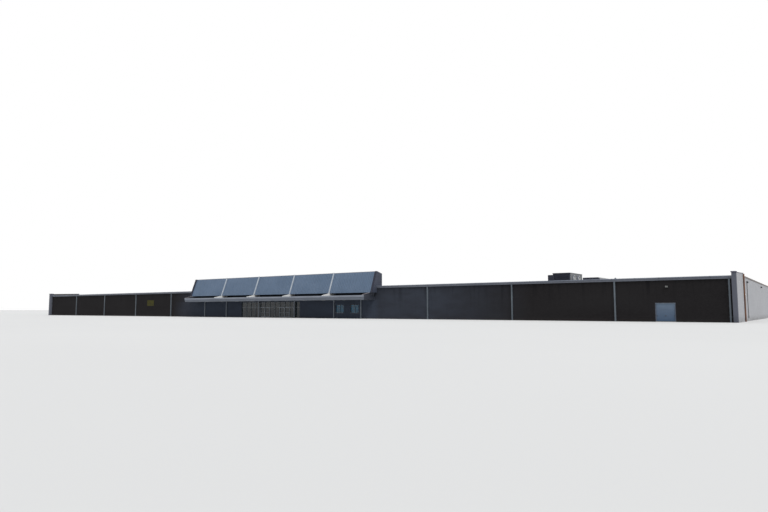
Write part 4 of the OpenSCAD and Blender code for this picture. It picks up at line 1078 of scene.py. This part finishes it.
def copy_to(piece, place, turn):
    """Copies a piece to a place, turned about the upright by some degrees."""
    bpy.ops.object.select_all(action="DESELECT")
    piece.select_set(True)
    bpy.context.view_layer.objects.active = piece
    bpy.ops.object.duplicate()
    other = bpy.context.object
    other.location = place
    other.rotation_euler = (0, 0, math.radians(turn))
    bpy.ops.object.transform_apply()
    return other


HOUSING_HALF_WIDTH, HOUSING_HALF_HEIGHT, HOUSING_DEPTH = 0.020, 0.015, 0.014
LENS_HALF_WIDTH, LENS_HALF_HEIGHT = 0.0165, 0.0115
LENS_FRONT, LENS_BACK = 0.0238, 0.0125
housing = add_block("housing", (-HOUSING_HALF_WIDTH, -HOUSING_DEPTH, -HOUSING_HALF_HEIGHT),
                    (HOUSING_HALF_WIDTH, 0, HOUSING_HALF_HEIGHT))
bevel_edges(housing, lambda end: end.y < -HOUSING_DEPTH + 0.001, 0.003, 2)
press(housing, looking(y=-1), (0.0015, 0), (0.0004, -0.0012))
lens = add_block("lens", (-LENS_HALF_WIDTH, -LENS_FRONT, -LENS_HALF_HEIGHT),
                 (LENS_HALF_WIDTH, -LENS_BACK, LENS_HALF_HEIGHT))
# The lens is rounded from top to bottom only, and then ribbed facet by facet.
open_up(lens)
pick_edges(lens, lambda end: end.y < -LENS_FRONT + 0.001)
for edge in bmesh.from_edit_mesh(lens.data).edges:
    level = abs(edge.verts[0].co.z - edge.verts[1].co.z) < 0.001
    edge.select_set(edge.select and level)
bpy.ops.mesh.bevel(offset=0.0095, segments=5)
pick_faces(lens, lambda out: out.y < -0.2)
bpy.ops.mesh.inset(thickness=0.0005, depth=-0.0004, use_individual=True)
close_up()
SIDE_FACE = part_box("side_walls")[1].x
DOOR_LIGHT_HEIGHT = FASCIA_FOOT - 0.086
DOOR_LIGHT_ASIDE = 0.028
SIDE_LIGHT_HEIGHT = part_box("side_walls")[1].z - 0.062
FIRST_SIDE_LIGHT, SIDE_LIGHT_STEP = -1.551, 2.46
half_door = SHUTTER_WIDTH / 2
door_lights = [(shutters_high.x - half_door + DOOR_LIGHT_ASIDE, BRICK_FACE, DOOR_LIGHT_HEIGHT, 0)]
for left in (shutters_low.x, shutters_low.x + DOCK_STEP):
    door_lights.append((left + half_door - DOOR_LIGHT_ASIDE, REAR_FACE, DOOR_LIGHT_HEIGHT, 180))
side_lights = [(end * SIDE_FACE, along, SIDE_LIGHT_HEIGHT, end * 90)
               for end in (1, -1) for along in (FIRST_SIDE_LIGHT, FIRST_SIDE_LIGHT + SIDE_LIGHT_STEP)]
housings = join_as("wall_light_housings", [
    copy_to(housing, (x, y, z), turn) for x, y, z, turn in door_lights + side_lights])
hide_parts("wall_lights")
# The housings' dark grey is partly painted shade.
cast_body = folded_metal("cast light housing", shade(44, 46, 52), shade(56, 58, 63), 0.6, gloss=0.2)
fix_on(housings, cast_body)
wall_lens = spotted("yellowed prismatic lens", shade(92, 93, 93), shade(112, 112, 108), 0.4,
                    size=0.008, depth=0.0004)
# The side lights' lenses are painted near black: painted shade.
shaded_side_lens = spotted("prismatic lens in painted shade", shade(44, 45, 49), shade(58, 59, 62), 0.5,
                    size=0.008, depth=0.0004)
for name, finish, places in (("door_light_lenses", wall_lens, door_lights),
                             ("side_light_lenses", shaded_side_lens, side_lights)):
    lenses = join_as(name, [copy_to(lens, (x, y, z), turn) for x, y, z, turn in places])
    fix_on(lenses, finish)
bpy.data.objects.remove(housing)
bpy.data.objects.remove(lens)

# A steel conduit, clipped to the side wall, runs down from the first light to a junction box
# near the ground.
CONDUIT_RADIUS, CONDUIT_LENGTH, CONDUIT_MIDDLE = 0.0045, 0.49, 0.298
BOX_HALF, BOX_OUT, BOX_FOOT, BOX_HEAD = 0.015, 0.012, 0.045, 0.078
CLIP_HALF, CLIP_OUT, CLIP_WIDTH = 0.009, 0.0105, 0.004
CLIP_HEIGHTS = (0.15, 0.30, 0.45)
conduit = [add_round("tube", CONDUIT_RADIUS, CONDUIT_LENGTH,
                     (SIDE_FACE + 0.005, FIRST_SIDE_LIGHT, CONDUIT_MIDDLE), sides=16)]
box = add_block("box", (SIDE_FACE, FIRST_SIDE_LIGHT - BOX_HALF, BOX_FOOT),
                (SIDE_FACE + BOX_OUT, FIRST_SIDE_LIGHT + BOX_HALF, BOX_HEAD))
press(box, looking(x=1), (0.002, 0), (0.0005, 0.0012))
conduit.append(box)
for height in CLIP_HEIGHTS:
    conduit.append(add_block("clip", (SIDE_FACE, FIRST_SIDE_LIGHT - CLIP_HALF, height),
                             (SIDE_FACE + CLIP_OUT, FIRST_SIDE_LIGHT + CLIP_HALF, height + CLIP_WIDTH)))
conduit = join_as("side_conduits", conduit)
mirror_to_left(conduit)
conduit_metal = folded_metal("dull conduit", shade(104, 105, 108), shade(122, 122, 124))
fix_on(conduit, conduit_metal)

# Rooftop plant: two galvanised steel casings screwed down on curbs, with a dark intake hood on
# the tall one's left. Their louvred fronts are painted dark, partly for the coil behind the
# louvres and partly as painted shade.
hood_low, hood_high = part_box("roof_unit_intake")
fans_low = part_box("roof_unit_fans")[0]
units_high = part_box("roof_units")[1]
TALL_DEPTH = 0.6
LOW_WIDTH, LOW_DEPTH = 0.274, 0.7
# Front left and back right corner of each casing
TALL = ((hood_high.x, hood_low.y), (fans_low.x, hood_low.y + TALL_DEPTH))
LOW = ((units_high.x - LOW_WIDTH, units_high.y - LOW_DEPTH), (units_high.x, units_high.y))
# The fronts are painted dark, partly as painted shade, from a little way behind the first louvre
# forwards.
FRONT_FROM, FRONT_TO = 0.0115, 0.0085
casing = new_finish("weathered galvanised casing", 0.55, 0.15, 0.35)
spangle = blotches(casing, 0.03)
sheet = over(casing, shade(113, 116, 120), shade(129, 131, 134), spangle)
tall_front = from_to(casing, "Y", TALL[0][1] + FRONT_FROM, TALL[0][1] + FRONT_TO)
between_units = (TALL[1][0] + LOW[0][0]) / 2
low_front = times(casing, from_to(casing, "Y", LOW[0][1] + FRONT_FROM, LOW[0][1] + FRONT_TO),
                  from_to(casing, "X", between_units, between_units + 0.01))
show(casing, over(casing, sheet, shade(50, 53, 67), plus(casing, tall_front, low_front)), spangle, 0.0006)
dress(casing, "roof_units", "roof_curbs")
hood_metal = folded_metal("dark hood metal", shade(48, 50, 63), shade(58, 60, 71), 0.6, 0.1, 0.2)
dress(hood_metal, "roof_unit_intake")

# Standing ribs of the casings' steel stiffen their plain sides, and a pressed hatch with a pull
# closes each back.
RIB_THICK, RIB_WIDTH, RIB_FOOT = 0.002, 0.004, 0.572
TALL_RIB_HEAD = 0.748
ribs = []
# A row's side and the casing's front, the ribs' head, and how far each stands behind the front
for side, front, head, places in (
        (TALL[1][0], TALL[0][1], TALL_RIB_HEAD, (0.006, 0.299, 0.541)),
        (TALL[0][0] - RIB_THICK, TALL[0][1], TALL_RIB_HEAD, (0.361, 0.481, 0.591)),
        (LOW[1][0], LOW[0][1], 0.646, (0.051, 0.201, 0.351, 0.501, 0.651)),
        (LOW[0][0] - RIB_THICK, LOW[0][1], 0.676, (0.051, 0.261, 0.471, 0.681))):
    for place in places:
        ribs.append(add_block("rib", (side, front + place, RIB_FOOT),
                              (side + RIB_THICK, front + place + RIB_WIDTH, head)))
HATCH_FOOT, HATCH_THICK = 0.585, 0.0025
PULL_IN, PULL_WIDTH, PULL_HALF = 0.015, 0.004, 0.012
# Left and right edge, back and head of each hatch
for left, right, back, head in (
        (TALL[0][0] + 0.024, TALL[1][0] - 0.025, TALL[1][1], 0.735),
        (LOW[0][0] + 0.027, LOW[1][0] - 0.047, LOW[1][1], 0.66)):
    hatch = add_block("hatch", (left, back, HATCH_FOOT), (right, back + HATCH_THICK, head))
    press(hatch, looking(y=1), (0.008, 0), (0.0015, -0.0015))
    halfway = (HATCH_FOOT + head) / 2
    pull = add_block("pull", (left + PULL_IN, back + 0.002, halfway - PULL_HALF),
                     (left + PULL_IN + PULL_WIDTH, back + 0.006, halfway + PULL_HALF))
    ribs += [hatch, pull]
ribs = join_as("casing_ribs", ribs)
ease_edges(ribs, 0.0005, 1)
fix_on(ribs, casing)

# Slats of the hood's metal across its outer side, riveted into its frame. Each is tilted, so
# that it throws the rain off.
SLAT_MARGIN, SLAT_OUT, SLAT_THICK, SLAT_TILT = 0.007, 0.0025, 0.0025, 0.003
FIRST_SLAT, SLAT_STEP = hood_low.z + 0.0255, 0.0135
slat = add_block("hood_slats", (hood_low.x - SLAT_OUT, hood_low.y + SLAT_MARGIN, FIRST_SLAT),
                 (hood_low.x + 0.0005, hood_high.y - SLAT_MARGIN, FIRST_SLAT + SLAT_THICK))
move_edges(slat, lambda end: end.x < hood_low.x, (0, 0, -SLAT_TILT))
repeat(slat, 8, (0, 0, SLAT_STEP))
fix_on(slat, hood_metal)

# Two extract fans in the tall casing's right side: five pitched blades round a hub, in a
# pressed well and behind a wire guard of rings and spokes.


def turned_to(piece, place, *turns):
    """Turns a piece drawn about the centre by degrees round each axis in turn, and places it."""
    for turn in turns:
        piece.rotation_euler = [math.radians(part) for part in turn]
        bpy.ops.object.transform_apply()
    piece.location = place
    bpy.ops.object.transform_apply()
    return piece


TO_RIGHT = (0, 90, 0)
FAN_HEIGHT = fans_low.z + 0.065
FIRST_FAN, FAN_STEP = TALL[0][1] + 0.18, 0.24
BLADE_X, GUARD_X = fans_low.x + 0.0055, fans_low.x + 0.015
WELL_RADIUS = 0.0548
HUB_RADIUS, HUB_LENGTH = 0.012, 0.008
BLADES = 5
BLADE_START, BLADE_END, BLADE_HALF, BLADE_THICK = 0.010, 0.052, 0.009, 0.0012
BLADE_FLARE, BLADE_PITCH = 1.4, 28
WIRE = 0.0012
RING_RADII = (0.012, 0.020, 0.028, 0.036, 0.044, 0.052, 0.059)
SPOKE_LENGTH = 0.120
wells = []
blades = []
guards = []
for fan_y in (FIRST_FAN, FIRST_FAN + FAN_STEP):
    blades.append(add_round("hub", HUB_RADIUS, HUB_LENGTH, (BLADE_X, fan_y, FAN_HEIGHT), TO_RIGHT))
    well = add_round("well", WELL_RADIUS, 0.001, (fans_low.x + 0.0006, fan_y, FAN_HEIGHT), TO_RIGHT, 48)
    press(well, looking(x=1), (0.030, 0), (0.002, 0.0015))
    wells.append(well)
    for step in range(BLADES):
        blade = add_block("blade", (-BLADE_THICK / 2, -BLADE_HALF, BLADE_START),
                          (BLADE_THICK / 2, BLADE_HALF, BLADE_END))
        open_up(blade)
        pick_edges(blade, lambda end: end.z > BLADE_END - 0.001)
        bpy.ops.transform.resize(value=(1, BLADE_FLARE, 1), center_override=(0, 0, BLADE_END))
        close_up()
        blades.append(turned_to(blade, (BLADE_X, fan_y, FAN_HEIGHT), (0, 0, BLADE_PITCH),
                                (step * 360 / BLADES, 0, 0)))
    for radius in RING_RADII:
        bpy.ops.object.select_all(action="DESELECT")
        bpy.ops.mesh.primitive_torus_add(major_segments=48, minor_segments=6, major_radius=radius,
                                         minor_radius=WIRE)
        guards.append(turned_to(bpy.context.object, (GUARD_X, fan_y, FAN_HEIGHT), TO_RIGHT))
    for turn in range(0, 180, 30):
        spoke = add_round("spoke", WIRE, SPOKE_LENGTH, (0, 0, 0), sides=6)
        guards.append(turned_to(spoke, (GUARD_X + 0.001, fan_y, FAN_HEIGHT), (turn, 0, 0)))
well_metal = folded_metal("grey fan well", shade(108, 111, 115), shade(122, 124, 128))
guard_wire = folded_metal("pale guard wire", shade(204, 206, 208), shade(214, 215, 216), 0.45, 0.1)
fix_on(join_as("fan_wells", wells), well_metal)
fix_on(join_as("fan_blades", blades), hood_metal)
fix_on(join_as("fan_guards", guards), guard_wire)

# Round the curbs of both units the roof's felt is dressed up in a sloping collar, bonded to
# the roof and to the curb.
COLLAR_OUT, COLLAR_TOP, COLLAR_SLOPE = 0.010, 0.567, 0.0115
collars = []
for (left, front), (right, back) in (TALL, LOW):
    collar = add_block("collar", (left - COLLAR_OUT, front - COLLAR_OUT, ROOF),
                       (right + COLLAR_OUT, back + COLLAR_OUT, COLLAR_TOP))
    bevel_edges(collar, lambda end: end.z > COLLAR_TOP - 0.007, COLLAR_SLOPE)
    collars.append(collar)
fix_on(join_as("curb_felt_collars", collars), felt)

# A pale studio floor under the whole building. It runs past the edge of every view, and in
# the camera's own view the surroundings are plain white.
FLOOR_SIZE = 700
bpy.ops.object.select_all(action="DESELECT")
bpy.ops.mesh.primitive_plane_add(size=FLOOR_SIZE, location=(0, 0, 0))
floor = bpy.context.object
floor.name = "studio_floor"
bpy.ops.object.transform_apply()
pale = new_finish("pale floor", 0.9, gloss=0.1)
show(pale, over(pale, shade(210, 210, 210), shade(212, 212, 212), blotches(pale, 2.5, 2)))
floor.data.materials.append(pale)

# Soft even light from all round, with one broad lamp high on the right that gives the forms
# their shade: the right end of the store is its brighter side.
world = bpy.data.worlds.new("studio")
bpy.context.scene.world = world
world.use_nodes = True
world.node_tree.nodes.clear()
room = node(world, "Background", {"Color": (0.94, 0.97, 1.0, 1.0), "Strength": 0.72}).outputs[0]
backdrop = node(world, "Background", {"Color": (1.0, 1.0, 1.0, 1.0), "Strength": 1.0}).outputs[0]
rays = node(world, "LightPath").outputs
mirrored = node(world, "Math", {0: rays["Is Glossy Ray"], 1: rays["Is Transmission Ray"]},
                operation="MAXIMUM").outputs[0]
seen = node(world, "Math", {0: rays["Is Camera Ray"], 1: mirrored}, operation="MAXIMUM").outputs[0]
choice = node(world, "MixShader", {0: seen, 1: room, 2: backdrop}).outputs[0]
node(world, "OutputWorld", {"Surface": choice})

LAMP_TILT, LAMP_TURN, LAMP_SPREAD = 38, 62, 30
bpy.ops.object.light_add(type="SUN", rotation=(math.radians(LAMP_TILT), 0, math.radians(LAMP_TURN)))
lamp = bpy.context.object
lamp.name = "soft_lamp"
lamp.data.energy = 2.0
lamp.data.angle = math.radians(LAMP_SPREAD)
lamp.data.color = (1.0, 0.98, 0.95)

# The camera's place: at eye height, out in front of the right end of the store and
# looking along the front towards its left end.
EYE = (9.873, -11.574, 0.1606)
CAMERA_TILT, CAMERA_TURN = 95.158, 36.215
bpy.ops.object.camera_add(location=EYE,
                          rotation=(math.radians(CAMERA_TILT), 0, math.radians(CAMERA_TURN)))
camera = bpy.context.object
camera.name = "camera"
camera.data.lens = 27.95
camera.data.sensor_width = 36
camera.data.clip_start = 0.05
camera.data.clip_end = 1000
bpy.context.scene.camera = camera
bpy.context.scene.view_settings.view_transform = "Standard"
